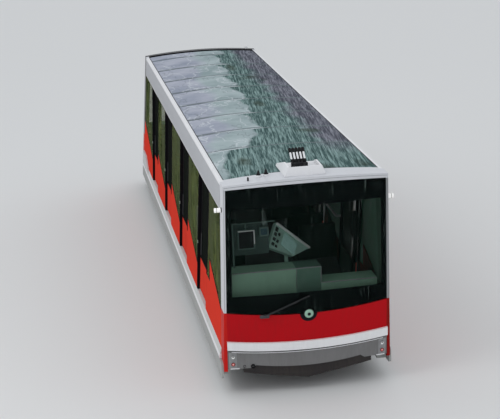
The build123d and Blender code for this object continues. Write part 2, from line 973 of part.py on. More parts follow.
# Underframe: two inner beams, cross members and bolsters between them, and floor bearers
frame_start = place_y(floor_start_u + frame_lead)
frame_end = place_y(roof_length + frame_tail)
beam_height = beam_top_z - beam_bottom_z
beam_middle_z = (beam_bottom_z + beam_top_z) / 2
beam_inner = beam_x - beam_width / 2
beam_outer = beam_x + beam_width / 2
member_reach = wheelbase / 2 + 2 * wheel_radius + 2 * cross_width
middle_low = bogie_u[0] + member_reach
middle_high = bogie_u[1] - member_reach
middle_u = [
    middle_low + i * (middle_high - middle_low) / (middle_members - 1) for i in range(middle_members)
]
cross_u = [anchor_u, bogie_u[0] - member_reach, *middle_u, bogie_u[1] + member_reach]
cross_sections = [(u, cross_width) for u in cross_u] + [(u, bolster_width) for u in bogie_u]
with BuildPart() as longitudinal_beams:
    with Locations(
        *[(side * beam_x, (frame_start + frame_end) / 2, beam_middle_z) for side in (1, -1)]
    ):
        Box(beam_width, frame_end - frame_start, beam_height)
save(longitudinal_beams, "longitudinal_beams")

with BuildPart() as cross_members:
    for u, width in cross_sections:
        with Locations((0, place_y(u), beam_middle_z)):
            Box(2 * beam_inner, width, beam_height)
        with Locations(
            *[(side * (beam_outer + sill_inner_half) / 2, place_y(u), beam_middle_z) for side in (1, -1)]
        ):
            Box(sill_inner_half - beam_outer, width, beam_height)
save(cross_members, "cross_members")

with BuildPart() as floor_bearers:
    for edge in [row[1] for row in floor_rows if row[0] == "landing"] + [tail_edge]:
        near = level_point(edge, bearer_length, -floor_plate)
        far = level_point(edge, 2 * bearer_length, -floor_plate)
        with BuildSketch(Plane.YZ):
            Polygon(near, far, (far[0], beam_top_z), (near[0], beam_top_z), align=None)
        extrude(amount=beam_outer, both=True)
save(floor_bearers, "floor_bearers")

# Running gear: two bogies with two wheelsets each, double-flanged wheels on the
# left and wide plain rollers on the right
wheelset_number = 0
for name, u in zip(("uphill", "downhill"), bogie_u):
    axle_u = [u - wheelbase / 2, u + wheelbase / 2]
    with BuildPart() as bogie:
        for side in (1, -1):
            with Locations((side * bogie_beam_x, place_y(u), (bogie_beam_bottom_z + bogie_beam_top_z) / 2)):
                Box(bogie_beam_width, 2 * bogie_beam_half, bogie_beam_top_z - bogie_beam_bottom_z)
        with Locations((0, place_y(u), (transom_bottom_z + transom_top_z) / 2)):
            Box(2 * bogie_beam_x, 2 * transom_half, transom_top_z - transom_bottom_z)
        with BuildSketch(Plane.XY.offset(transom_top_z)):
            with Locations((0, place_y(u))):
                Circle(pivot_radius)
        extrude(amount=beam_bottom_z - pivot_gap - transom_top_z)
        for axle in axle_u:
            with BuildSketch(Plane.YZ):
                with Locations((place_y(axle), axle_z)):
                    Circle(axle_box_radius)
            extrude(amount=bogie_beam_x + bogie_beam_width / 2 + axle_box_out, both=True)
            with BuildSketch(Plane.YZ):
                with Locations((place_y(axle), axle_z)):
                    Circle(axle_box_radius + axle_box_gap)
            extrude(amount=bogie_beam_x - bogie_beam_width / 2, both=True, mode=Mode.SUBTRACT)
            with BuildSketch(Plane.YZ):
                with Locations((place_y(axle), axle_z)):
                    Circle(journal_radius + journal_play)
            extrude(amount=reach, both=True, mode=Mode.SUBTRACT)
    save(bogie, f"{name}_bogie")
    yoke_half = jaw_gap + jaw_thickness
    with BuildPart() as rail_brake:
        with Locations((-wheel_x, place_y(u), (brake_yoke_z + transom_bottom_z) / 2)):
            Box(2 * yoke_half, brake_length, transom_bottom_z - brake_yoke_z)
        for side in (1, -1):
            with BuildSketch(Plane.YZ.offset(side * (jaw_gap + jaw_thickness / 2) - wheel_x - jaw_thickness / 2)):
                Polygon(
                    (place_y(u) - brake_length / 2, jaw_bottom_z),
                    (place_y(u) + brake_length / 2, jaw_bottom_z),
                    (place_y(u) + brake_length / 3, brake_yoke_z),
                    (place_y(u) - brake_length / 3, brake_yoke_z),
                    align=None,
                )
            extrude(amount=jaw_thickness)
    save(rail_brake, f"{name}_rail_brake")
    for axle in axle_u:
        wheelset_number += 1
        flange_radius = wheel_radius + flange_height
        left_in = -wheel_x + tread_width / 2
        left_out = -wheel_x - tread_width / 2
        shoulder = bogie_beam_x - bogie_beam_width / 2 - axle_end_play
        with BuildPart() as wheelset:
            with BuildSketch(Plane.XZ.offset(-place_y(axle))):
                with Locations((0, axle_z)):
                    Polygon(
                        (-journal_half, 0),
                        (-journal_half, journal_radius),
                        (-shoulder, journal_radius),
                        (-shoulder, axle_radius),
                        (left_out - flange_width, axle_radius),
                        (left_out - flange_width, flange_radius - flange_edge),
                        (left_out - flange_taper, flange_radius),
                        (left_out, wheel_radius),
                        (left_in, wheel_radius),
                        (left_in + flange_taper, flange_radius),
                        (left_in + flange_width, flange_radius - flange_edge),
                        (left_in + flange_width, axle_radius),
                        (wheel_x - roller_width / 2, axle_radius),
                        (wheel_x - roller_width / 2, wheel_radius),
                        (wheel_x + roller_width / 2, wheel_radius),
                        (wheel_x + roller_width / 2, axle_radius),
                        (shoulder, axle_radius),
                        (shoulder, journal_radius),
                        (journal_half, journal_radius),
                        (journal_half, 0),
                        align=None,
                    )
            revolve(axis=Axis((0, place_y(axle), axle_z), (1, 0, 0)))
        save(wheelset, f"wheelset_{wheelset_number}")

# Haul cable anchor at the uphill end of the underframe
with BuildPart() as cable_anchor:
    for side in (1, -1):
        with BuildSketch(Plane.YZ.offset(side * (anchor_gap / 2 + anchor_lug / 2) - anchor_lug / 2)):
            with Locations((place_y(anchor_u), anchor_z)):
                Circle(anchor_outer)
                with Locations((0, (beam_bottom_z - anchor_z) / 2)):
                    Rectangle(2 * anchor_outer, beam_bottom_z - anchor_z)
                Circle(anchor_bore, mode=Mode.SUBTRACT)
        extrude(amount=anchor_lug)
save(cable_anchor, "cable_anchor")

# Benches on the stepped floor, two rows between one doorway and the next
bench_edges = [edge for use, edge, _, _ in floor_rows if use == "bench"]
seat_profile = [(0, 0), (bench_seat, 0), (bench_seat, bench_height), (0, bench_height)]
back_profile = [
    (0, bench_height),
    (bench_back_foot, bench_height),
    (bench_back_top, bench_back),
    (0, bench_back),
]
for node, profile in (("bench_seats", seat_profile), ("bench_backs", back_profile)):
    with BuildPart() as bench:
        for edge in bench_edges:
            with BuildSketch(Plane.YZ.offset(bench_inner_x)):
                Polygon(*[level_point(edge, across + bench_gap, up) for across, up in profile], align=None)
            extrude(amount=bench_outer_x - bench_inner_x)
        mirror(about=Plane.YZ)
    save(bench, node)

# Rails beside the windows, each from a door post uphill to a pole behind the bay's last bench
pole_parts = []
rail_parts = []
last_benches = bench_edges[1 :: bay_plan.count("bench")]
for (_, doorway_end), edge in zip(doorways, last_benches):
    foot = level_point(edge, pole_offset, 0)
    corner = level_point(foot, 0, (handrail_z - foot[1]) / rise_cos)
    post_x = half_width(handrail_z) - far_post_depth / tumble_cos - handrail_radius * tumblehome
    start_y = place_y(post_u(doorway_end + far_post_width / 2, handrail_z))
    with BuildPart() as pole:
        with BuildSketch(Plane(origin=(handrail_x, foot[0], foot[1]), z_dir=(0, -rise_sin, rise_cos))):
            Circle(handrail_radius)
        extrude(amount=(handrail_z + pole_above - foot[1]) / rise_cos)
    with BuildPart() as rail:
        with BuildLine():
            FilletPolyline(
                (post_x, start_y, handrail_z),
                (handrail_x, start_y, handrail_z),
                (handrail_x, corner[0], handrail_z),
                radius=handrail_bend,
            )
        with BuildSketch(Plane(origin=(post_x, start_y, handrail_z), z_dir=(-1, 0, 0))):
            Circle(handrail_radius)
        sweep()
        add(pole.part, mode=Mode.SUBTRACT)
    pole_parts.append(pole.part)
    rail_parts.append(rail.part)
for node, parts in (("grab_poles", pole_parts), ("window_rails", rail_parts)):
    with BuildPart() as tubes:
        for part in parts:
            add(part)
        mirror(about=Plane.YZ)
    save(tubes, node)


# Driver's desks, one behind each windshield, standing on the end treads
def desk_outline(end, top_z):
    side, corner_y, rake = ends[end]
    origin = floor_rows[0][1] if end == "uphill" else tail_edge
    front = corner_y - side * desk_gaps[end]
    back = front - side * desk_depth

    def on_tread(line_y):
        z = (origin[1] + (line_y + roof_edge_z * rake - origin[0]) * lean) / (1 + rake * lean)
        return (line_y + (roof_edge_z - z) * rake, z)

    with BuildSketch(Plane.YZ) as outline:
        Polygon(
            on_tread(front),
            on_tread(back),
            (back + (roof_edge_z - top_z) * rake, top_z),
            (front + (roof_edge_z - top_z) * rake, top_z),
            align=None,
        )
    return outline.sketch


with BuildPart() as driver_desks:
    for end, (side, _, _) in ends.items():
        extrude(desk_outline(end, ledge_top_z), amount=desk_outer_x, both=True)
        with BuildPart(mode=Mode.PRIVATE) as high_desk:
            extrude(desk_outline(end, desk_top_z), amount=reach, both=True)
            with BuildSketch(Plane.XZ):
                with Locations((side * (desk_outer_x - desk_side_x) / 2, desk_top_z / 2)):
                    Rectangle(desk_outer_x + desk_side_x, desk_top_z)
            extrude(amount=reach, both=True, mode=Mode.INTERSECT)
        add(high_desk.part)
save(driver_desks, "driver_desks")


# Instrument panels: a tilted plate on an arm behind the high part of each desk
def desk_back_y(end, z):
    side, corner_y, rake = ends[end]
    return corner_y - side * (desk_gaps[end] + desk_depth) + (roof_edge_z - z) * rake


turn = radians(console_turn)
tilt = radians(console_tilt)
roll = radians(console_roll)
console_normal = Vector(cos(tilt) * sin(turn), -cos(tilt) * cos(turn), sin(tilt))
console_level = Vector(cos(turn), sin(turn), 0)
console_across = console_level * cos(roll) - console_normal.cross(console_level) * sin(roll)
with BuildPart() as instrument_panels:
    for end, (side, _, _) in ends.items():
        middle = (side * console_x, desk_back_y(end, desk_top_z) - side * console_reach, console_z)
        face = Plane(
            origin=middle,
            x_dir=(-side * console_across.X, -side * console_across.Y, console_across.Z),
            z_dir=(-side * console_normal.X, -side * console_normal.Y, console_normal.Z),
        )
        with BuildSketch(face):
            Polygon(*console_shape, align=None)
        extrude(amount=-console_thickness)
        seat = face.origin - face.z_dir * console_thickness / 2
        start_y = desk_back_y(end, console_arm_z) + side * console_arm_radius
        with BuildLine() as arm_line:
            FilletPolyline(
                (seat.X, start_y, console_arm_z), (seat.X, seat.Y, console_arm_z), seat, radius=console_arm_bend
            )
        with BuildSketch(Plane(origin=(seat.X, start_y, console_arm_z), z_dir=(0, -side, 0))) as arm_section:
            Circle(console_arm_radius)
        sweep(sections=arm_section.sketch, path=arm_line.wire())
    add(driver_desks.part, mode=Mode.SUBTRACT)
save(instrument_panels, "instrument_panels")


# Roof equipment over the uphill header
def header_top_z(x):
    """Height of the arched header at a distance from the middle."""
    radius = (roof_half_width**2 + roof_crown**2) / (2 * roof_crown)
    return roof_edge_z + roof_crown - (radius - sqrt(radius**2 - x**2))


# An open tray: a front wall, and cheeks that lean inwards and run down towards the rear
roof_top_z = roof_edge_z + roof_crown
tray_front_y = place_y(tray_start_u)
tray_lean = (tray_half_width - tray_top_half) / tray_height


def tray_section(y, low, high, inset):
    """Section across the tray between two heights above the roof."""
    low_half = tray_half_width - low * tray_lean - inset
    high_half = tray_half_width - high * tray_lean - inset
    with BuildSketch(Plane.XZ.offset(-y)) as section:
        Polygon(
            (-low_half, roof_top_z + low),
            (low_half, roof_top_z + low),
            (high_half, roof_top_z + high),
            (-high_half, roof_top_z + high),
            align=None,
        )
    return section.sketch


with BuildPart() as roof_tray:
    extrude(tray_section(tray_front_y, 0, tray_height, 0), amount=-tray_length)
    extrude(
        tray_section(tray_front_y + tray_wall, tray_floor, 2 * tray_height, tray_wall),
        amount=-tray_length,
        mode=Mode.SUBTRACT,
    )
    with BuildSketch(Plane.YZ):
        Polygon(
            (tray_front_y + tray_level_length, roof_top_z + tray_height),
            (tray_front_y + tray_length, roof_top_z + tray_tail_height),
            (tray_front_y + tray_length, roof_top_z + tray_height),
            align=None,
        )
    extrude(amount=tray_half_width, both=True, mode=Mode.SUBTRACT)
save(roof_tray, "roof_tray")

collector_y = place_y(collector_u)
collector_z = roof_top_z + tray_floor + collector_bar / 2
with BuildPart() as current_collector:
    with Locations((collector_x, collector_y, collector_z)):
        Box(collector_arms * collector_pitch, collector_foot, collector_bar)
    for i in range(collector_arms):
        arm_x = collector_x + (i - (collector_arms - 1) / 2) * collector_pitch
        with BuildSketch(
            Plane(
                origin=(arm_x, collector_y, collector_z),
                x_dir=(1, 0, 0),
                z_dir=(0, cos(radians(collector_tilt)), sin(radians(collector_tilt))),
            )
        ):
            Rectangle(collector_arm, collector_arm)
        extrude(amount=collector_length)
save(current_collector, "current_collector")

with BuildPart() as antennas:
    for x, u in antenna_spots:
        base_z = header_top_z(abs(x) - antenna_base_radius)
        with BuildSketch(Plane.XY.offset(base_z)):
            with Locations((x, place_y(u))):
                Circle(antenna_base_radius)
        extrude(amount=antenna_base_height)
        with Locations((x, place_y(u), base_z + antenna_base_height + antenna_cone_height / 2)):
            Cone(antenna_cone_radius, antenna_tip_radius, antenna_cone_height)
save(antennas, "antennas")

with BuildPart() as corner_lamps:
    with BuildSketch(Plane.YZ.offset(half_width(corner_lamp_z - corner_lamp_radius))):
        with Locations((place_y(corner_lamp_u), corner_lamp_z)):
            Circle(corner_lamp_radius)
    extrude(amount=corner_lamp_reach)
    mirror(about=Plane.YZ)
save(corner_lamps, "corner_lamps")

# The wipers' arms and blades
def band_between(start, stop, width):
    """A straight strip between two places on the end wall, seen end on."""
    length = sqrt((stop[0] - start[0]) ** 2 + (stop[1] - start[1]) ** 2)
    angle = degrees(atan2(stop[1] - start[1], stop[0] - start[0]))
    with BuildSketch(Plane.XZ) as strip:
        with Locations(Location(((start[0] + stop[0]) / 2, (start[1] + stop[1]) / 2, 0), angle)):
            Rectangle(length, width)
    return strip.sketch


# Each arm reaches past the elbow over its blade, which lies on the glass
blade_length = sqrt((wiper_tip[0] - wiper_elbow[0]) ** 2 + (wiper_tip[1] - wiper_elbow[1]) ** 2)
lap_share = wiper_arm_lap / blade_length
arm_end = tuple(elbow + (tip - elbow) * lap_share for elbow, tip in zip(wiper_elbow, wiper_tip))
with BuildSketch(Plane.XZ) as pivot_outline:
    with Locations(wiper_pivot):
        Circle(wiper_pivot_radius)
with BuildPart() as wipers:
    for end in ends:
        add(end_shell(end, pivot_outline.sketch, wiper_pivot_out, wiper_pivot_out))
        for start, stop in ((wiper_pivot, wiper_elbow), (wiper_elbow, arm_end)):
            arm = band_between(start, stop, wiper_arm_width)
            add(end_shell(end, arm, wiper_arm_out, wiper_arm_thickness))
        blade = band_between(wiper_elbow, wiper_tip, wiper_blade_width)
        add(end_shell(end, blade, wiper_blade_out, wiper_blade_out))
save(wipers, "wipers")
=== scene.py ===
import math

import bpy
from mathutils import Matrix, Vector


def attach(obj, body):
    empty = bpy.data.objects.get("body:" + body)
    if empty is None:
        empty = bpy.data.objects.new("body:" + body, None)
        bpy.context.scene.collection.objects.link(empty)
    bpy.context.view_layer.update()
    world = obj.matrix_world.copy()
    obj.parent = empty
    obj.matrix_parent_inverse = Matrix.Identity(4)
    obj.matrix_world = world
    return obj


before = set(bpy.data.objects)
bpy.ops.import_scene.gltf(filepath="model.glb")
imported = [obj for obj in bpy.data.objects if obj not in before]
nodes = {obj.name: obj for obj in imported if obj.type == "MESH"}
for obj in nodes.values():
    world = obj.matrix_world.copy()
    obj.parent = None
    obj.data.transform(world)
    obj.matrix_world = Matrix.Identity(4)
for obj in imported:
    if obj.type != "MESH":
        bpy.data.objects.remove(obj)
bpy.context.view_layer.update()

# The car's own shape in metres, with the same values as in the part's source
car = {
    "slope": math.radians(21.0),
    "roofEdge": 3.2,
    "roofHalf": 1.15,
    "roofCrown": 0.06,
    "glassHalf": 1.09,
    "tumblehome": 0.022,
    "bulge": 0.09,
    "uphillY": -6.805,
    "roofLength": 11.58,
    "uphillRake": math.radians(7.5),
    "downhillRake": math.radians(34.5),
    "firstDoor": 1.43,
    "doorWidth": 1.01,
    "doorPitch": 2.509,
    "nearPost": 0.1,
    "farPost": 0.08,
    "pillar": 0.28,
    "firstSeam": 2.05,
    "panePitch": 1.24,
    "railBottom": 2.78,
    "doorPanel": 1.27,
    "headlightZ": 1.228,
    "glassInset": 0.002,
}
lean = math.tan(car["slope"])
bulgeRadius = (car["roofHalf"] ** 2 + car["bulge"] ** 2) / (2 * car["bulge"])
crownRadius = (car["glassHalf"] ** 2 + car["roofCrown"] ** 2) / (2 * car["roofCrown"])
downhillY = car["uphillY"] + car["roofLength"]
ends = {
    "uphill": (-1, car["uphillY"], math.tan(car["uphillRake"])),
    "downhill": (1, downhillY, math.tan(car["downhillRake"])),
}
sides = {"left": -1, "right": 1}


def halfWidth(z):
    return car["roofHalf"] + car["tumblehome"] * (car["roofEdge"] - z)


def endPoint(end, x, z, out=0.0):
    # a point on an end wall's outer face, or in front of it
    side, cornerY, rake = ends[end]
    bow = car["bulge"] - (bulgeRadius - math.sqrt(bulgeRadius**2 - x**2))
    return Vector((x, cornerY + (car["roofEdge"] - z) * rake + side * (bow + out), z))


def endNormal(end, x):
    side, _, rake = ends[end]
    return Vector((x / math.sqrt(bulgeRadius**2 - x**2), side, side * rake)).normalized()


def sidePoint(side, u, z, out=0.0):
    # a point on a side wall, moved along with the slanting posts
    y = car["uphillY"] + u + (car["roofEdge"] - z) * lean
    return Vector((side * (halfWidth(z) + out), y, z))


def wallNormal(side):
    return Vector((side, 0, car["tumblehome"])).normalized()


def roofZ(x):
    drop = crownRadius - math.sqrt(crownRadius**2 - x**2)
    return car["roofEdge"] - car["glassInset"] + car["roofCrown"] - drop


def stepsAcross(half, count=24):
    # places from one side to the other, evenly spaced
    return [half * (2 * i / count - 1) for i in range(count + 1)]


# small helpers for modelling
def editMode(on=True):
    bpy.ops.object.mode_set(mode="EDIT" if on else "OBJECT")


def deselectAll():
    if bpy.context.object and bpy.context.object.mode != "OBJECT":
        editMode(False)
    bpy.ops.object.select_all(action="DESELECT")


def makeActive(piece):
    deselectAll()
    piece.select_set(True)
    bpy.context.view_layer.objects.active = piece


def named(name):
    piece = bpy.context.object
    piece.name = name
    piece.data.name = name
    return piece


def settle(piece):
    makeActive(piece)
    bpy.ops.object.transform_apply(location=True, rotation=True, scale=True)
    return piece


def pickFaces(piece, test):
    # leaves edit mode on, with the faces that pass the test selected
    makeActive(piece)
    editMode()
    bpy.ops.mesh.select_mode(type="FACE")
    bpy.ops.mesh.select_all(action="DESELECT")
    editMode(False)
    for face in piece.data.polygons:
        face.select = test(face.center, face.normal)
    editMode()


def pickTop(piece):
    pickFaces(piece, lambda center, normal: normal.z > 0.9)


def sinkTop(piece, rim, sink):
    # insets the top face and pushes it in, or out where the depth is negative
    pickTop(piece)
    bpy.ops.mesh.inset(thickness=rim)
    bpy.ops.mesh.extrude_region_move(TRANSFORM_OT_translate={"value": (0, 0, -sink)})
    editMode(False)


def addModifier(piece, kind, **values):
    makeActive(piece)
    modifier = piece.modifiers.new(kind.title(), kind)
    for key, value in values.items():
        setattr(modifier, key, value)
    bpy.ops.object.modifier_apply(modifier=modifier.name)
    return piece


def smooth(piece, angle=35):
    makeActive(piece)
    bpy.ops.object.shade_smooth_by_angle(angle=math.radians(angle))
    return piece


def setAt(piece, matrix):
    piece.matrix_world = matrix
    return settle(piece)


def standOn(piece, place, normal, spin=0.0):
    # turns a piece that was made along Z so that it stands on a surface
    turn = Vector(normal).to_track_quat("Z", "Y").to_matrix().to_4x4()
    return setAt(piece, Matrix.Translation(place) @ turn @ Matrix.Rotation(spin, 4, "Z"))


def joinPieces(pieces, name):
    deselectAll()
    for piece in pieces:
        piece.select_set(True)
    bpy.context.view_layer.objects.active = pieces[0]
    if len(pieces) > 1:
        bpy.ops.object.join()
    return settle(named(name))


def finishPiece(piece, material, slot, angle=35, body="car_body"):
    smooth(piece, angle)
    piece.data.materials.clear()
    piece.data.materials.append(material)
    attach(piece, body)
    return piece


def finishJoined(pieces, name, material, slot, angle=35, body="car_body"):
    return finishPiece(joinPieces(pieces, name), material, slot, angle, body)


def makeBlock(name, size, bevel=0.004, segments=2, taper=1.0):
    # a rounded block around the origin, its top face drawn in by the taper
    deselectAll()
    bpy.ops.mesh.primitive_cube_add(size=1)
    piece = named(name)
    piece.scale = size
    settle(piece)
    if taper != 1.0:
        pickTop(piece)
        bpy.ops.transform.resize(value=(taper, taper, 1))
        editMode(False)
    makeActive(piece)
    editMode()
    bpy.ops.mesh.select_all(action="SELECT")
    bpy.ops.mesh.bevel(offset=bevel, segments=segments, affect="EDGES")
    editMode(False)
    return piece


def makeCup(name, radius, depth, rim, sink, corners=32, bevel=0.0015):
    # a turned ring: its front face is inset and pushed in or out
    deselectAll()
    bpy.ops.mesh.primitive_cylinder_add(
        vertices=corners, radius=radius, depth=depth, location=(0, 0, depth / 2)
    )
    piece = settle(named(name))
    sinkTop(piece, rim, sink)
    addModifier(piece, "BEVEL", width=bevel, segments=2, limit_method="ANGLE")
    return piece


def makeDome(name, radius, height, rings=10):
    # half a ball, flattened, with its open foot closed
    deselectAll()
    bpy.ops.mesh.primitive_uv_sphere_add(segments=36, ring_count=2 * rings, radius=radius)
    piece = named(name)
    makeActive(piece)
    editMode()
    bpy.ops.mesh.select_all(action="SELECT")
    bpy.ops.mesh.bisect(plane_co=(0, 0, 0), plane_no=(0, 0, 1), clear_inner=True, use_fill=True)
    editMode(False)
    piece.scale = (1, 1, height / radius)
    return settle(piece)


def makeTube(name, points, radius, closed=False, sections=8):
    # a thin round strip along straight runs
    deselectAll()
    curve = bpy.data.curves.new(name, "CURVE")
    curve.dimensions = "3D"
    curve.bevel_depth = radius
    curve.bevel_resolution = max(1, sections // 4)
    curve.use_fill_caps = True
    spline = curve.splines.new("POLY")
    spline.points.add(len(points) - 1)
    for point, place in zip(spline.points, points):
        point.co = (*place, 1)
    spline.use_cyclic_u = closed
    piece = bpy.data.objects.new(name, curve)
    bpy.context.collection.objects.link(piece)
    makeActive(piece)
    bpy.ops.object.convert(target="MESH")
    return settle(named(name))


def makeStrip(name, points, width, thickness, across):
    # a flat strip along points, as wide as asked in the given direction
    deselectAll()
    runs = len(points) - 1
    bpy.ops.mesh.primitive_grid_add(x_subdivisions=runs, y_subdivisions=1, size=2)
    piece = named(name)
    half = Vector(across).normalized() * width / 2
    for vertex in piece.data.vertices:
        point = points[round((vertex.co.x + 1) / 2 * runs)]
        vertex.co = Vector(point) + half * vertex.co.y
    addModifier(piece, "SOLIDIFY", thickness=thickness, offset=0)
    return settle(piece)


# camera at the photograph's place
view = {
    "right": (0.98650, -0.15723, -0.04569),
    "up": (0.08473, 0.25142, 0.96416),
    "back": (-0.14011, -0.95502, 0.26135),
    "place": (-3.6189, -26.0963, 8.1305),
    "lens": 106.92,
}
bpy.ops.object.camera_add()
camera = bpy.context.object
camera.name = "photoCamera"
turn = Matrix([view[key] for key in ("right", "up", "back")]).transposed().to_4x4()
camera.matrix_world = Matrix.Translation(view["place"]) @ turn
camera.data.sensor_fit = "HORIZONTAL"
camera.data.sensor_width = 36
camera.data.lens = view["lens"]
camera.data.clip_end = 500
bpy.context.scene.camera = camera


# shared effects: small tools for node trees
def link(tree, source, target):
    tree.links.new(source, target)


def feed(tree, target, value):
    if isinstance(value, tuple) and len(value) == 3 and target.type == "RGBA":
        target.default_value = (*value, 1)
    elif isinstance(value, (int, float, tuple)):
        target.default_value = value
    else:
        link(tree, value, target)


def calc(tree, operation, first, second=0.0):
    node = tree.nodes.new("ShaderNodeMath")
    node.operation = operation
    feed(tree, node.inputs[0], first)
    feed(tree, node.inputs[1], second)
    return node.outputs[0]


def plus(tree, first, second):
    return calc(tree, "ADD", first, second)


def minus(tree, first, second):
    return calc(tree, "SUBTRACT", first, second)


def times(tree, first, second):
    return calc(tree, "MULTIPLY", first, second)


def ramp(tree, value, low, high, toLow=0.0, toHigh=1.0):
    node = tree.nodes.new("ShaderNodeMapRange")
    feed(tree, node.inputs["Value"], value)
    feed(tree, node.inputs["From Min"], low)
    feed(tree, node.inputs["From Max"], high)
    feed(tree, node.inputs["To Min"], toLow)
    feed(tree, node.inputs["To Max"], toHigh)
    return node.outputs["Result"]


def blend(tree, factor, first, second):
    node = tree.nodes.new("ShaderNodeMix")
    node.data_type = "RGBA"
    feed(tree, node.inputs["Factor"], factor)
    feed(tree, node.inputs["A"], first)
    feed(tree, node.inputs["B"], second)
    return node.outputs["Result"]


def objectSpace(tree, scale=(1, 1, 1), turn=(0, 0, 0), place=(0, 0, 0)):
    coords = tree.nodes.new("ShaderNodeTexCoord")
    mapping = tree.nodes.new("ShaderNodeMapping")
    mapping.inputs["Scale"].default_value = scale
    mapping.inputs["Rotation"].default_value = turn
    mapping.inputs["Location"].default_value = place
    link(tree, coords.outputs["Object"], mapping.inputs["Vector"])
    return mapping.outputs[0]


def axesOf(tree):
    coords = tree.nodes.new("ShaderNodeTexCoord")
    split = tree.nodes.new("ShaderNodeSeparateXYZ")
    link(tree, coords.outputs["Object"], split.inputs[0])
    return split.outputs


def noise(tree, vector, scale, detail=4.0, rough=0.5):
    node = tree.nodes.new("ShaderNodeTexNoise")
    link(tree, vector, node.inputs["Vector"])
    feed(tree, node.inputs["Scale"], scale)
    feed(tree, node.inputs["Detail"], detail)
    feed(tree, node.inputs["Roughness"], rough)
    return node.outputs["Fac"]


def startGroup(name, inputs, outputs):
    tree = bpy.data.node_groups.new(name, "ShaderNodeTree")
    for label, kind, value in inputs:
        socket = tree.interface.new_socket(name=label, in_out="INPUT", socket_type=kind)
        socket.default_value = value
    for label, kind in outputs:
        tree.interface.new_socket(name=label, in_out="OUTPUT", socket_type=kind)
    return tree, tree.nodes.new("NodeGroupInput").outputs, tree.nodes.new("NodeGroupOutput").inputs


def buildWeather():
    # road film and rain marks: a blotchy noise times one that is drawn out downwards
    tree, given, out = startGroup(
        "weatherFilm",
        [
            ("Colour", "NodeSocketColor", (0.5, 0.5, 0.5, 1)),
            ("Film", "NodeSocketColor", (0.3, 0.28, 0.25, 1)),
            ("Amount", "NodeSocketFloat", 0.3),
            ("Rough Low", "NodeSocketFloat", 0.2),
            ("Rough High", "NodeSocketFloat", 0.5),
        ],
        [("Colour", "NodeSocketColor"), ("Roughness", "NodeSocketFloat"), ("Height", "NodeSocketFloat")],
    )
    blotch = noise(tree, objectSpace(tree), 1.1, 6.0, 0.65)
    streak = noise(tree, objectSpace(tree, (9, 9, 0.9)), 3.0)
    grain = noise(tree, objectSpace(tree), 70.0, 3.0)
    mask = ramp(tree, times(tree, blotch, streak), 0.20, 0.50)
    share = times(tree, mask, given["Amount"])
    link(tree, blend(tree, share, given["Colour"], given["Film"]), out["Colour"])
    link(tree, ramp(tree, mask, 0.0, 1.0, given["Rough Low"], given["Rough High"]), out["Roughness"])
    link(tree, grain, out["Height"])
    return tree


def buildBeads():
    # standing raindrops: round cells of two sizes
    tree, given, out = startGroup(
        "rainBeads",
        [("Scale", "NodeSocketFloat", 60.0), ("Cover", "NodeSocketFloat", 0.3)],
        [("Height", "NodeSocketFloat")],
    )
    cells = []
    for factor in (1.0, 2.3):
        cell = tree.nodes.new("ShaderNodeTexVoronoi")
        link(tree, objectSpace(tree), cell.inputs["Vector"])
        link(tree, times(tree, given["Scale"], factor), cell.inputs["Scale"])
        cells.append(ramp(tree, cell.outputs["Distance"], given["Cover"], 0.0))
    link(tree, calc(tree, "MAXIMUM", *cells), out["Height"])
    return tree


weatherFilm = buildWeather()
rainBeads = buildBeads()


def useGroup(tree, group, **values):
    node = tree.nodes.new("ShaderNodeGroup")
    node.node_tree = group
    for label, value in values.items():
        feed(tree, node.inputs[label.replace("_", " ")], value)
    return node.outputs


def newMaterial(name, **constants):
    material = bpy.data.materials.new(name)
    material.use_nodes = True
    shader = material.node_tree.nodes["Principled BSDF"]
    for label, value in constants.items():
        feed(material.node_tree, shader.inputs[label.replace("_", " ")], value)
    return material, material.node_tree, shader


def addBump(tree, shader, height, strength, distance):
    bump = tree.nodes.new("ShaderNodeBump")
    bump.inputs["Strength"].default_value = strength
    bump.inputs["Distance"].default_value = distance
    link(tree, height, bump.inputs["Height"])
    link(tree, bump.outputs["Normal"], shader.inputs["Normal"])


def coated(name, paintIn, film, amount, rough, bump=(0.1, 0.0006), beads=0.0, specular=0.5, **constants):
    # a finish under the weather film; paintIn is a colour or a function that paints it from the tree
    material, tree, shader = newMaterial(name, Specular_IOR_Level=specular, **constants)
    colour = paintIn(tree) if callable(paintIn) else paintIn
    worn = useGroup(tree, weatherFilm, Colour=colour, Film=film, Amount=amount,
                    Rough_Low=rough[0], Rough_High=rough[1])
    link(tree, worn["Colour"], shader.inputs["Base Color"])
    link(tree, worn["Roughness"], shader.inputs["Roughness"])
    height = worn["Height"]
    if beads:
        drops = useGroup(tree, rainBeads, Scale=beads, Cover=0.28)["Height"]
        height = plus(tree, times(tree, height, 0.15), drops)
    addBump(tree, shader, height, *bump)
    return material


print("camera and shared effects are ready")

# finishes of the CAD nodes
endLamps = {
    "x": 1.085,
    "white": 0.615,
    "red": 0.505,
    "split": 0.56,
    "bowl": (0.018, 0.026),
    "bulb": (0.009, 0.013),
    "bulbLift": 0.010,
    "lens": (0.017, 0.024),
    # the painted highlight in the middle of the red lens
    "redHighlight": (0.007, 0.012),
}
tints = {
    "red": (0.50, 0.010, 0.015),
    "sideRed": (0.74, 0.055, 0.034),
    "litColumnRed": (0.62, 0.020, 0.016),
    # the columns' outer sides: painted light on the left, painted shade on the right
    "shadedRed": (0.25, 0.012, 0.010),
    "black": (0.010, 0.010, 0.012),
    "bright": (0.86, 0.86, 0.87),
    "portal": (0.66, 0.67, 0.70),
    # painted shade on the far portal and on the right pillar
    "farPortalShade": (0.17, 0.17, 0.18),
    "shadedPortal": (0.20, 0.20, 0.205),
    "sillFlank": (0.40, 0.41, 0.40),
    "sillTop": (0.62, 0.63, 0.62),
    "railFace": (0.50, 0.51, 0.53),
    "railFoot": (0.72, 0.72, 0.73),
    "grey": (0.205, 0.203, 0.203),
    "dirt": (0.10, 0.085, 0.06),
    "trim": (0.045, 0.065, 0.055),
}
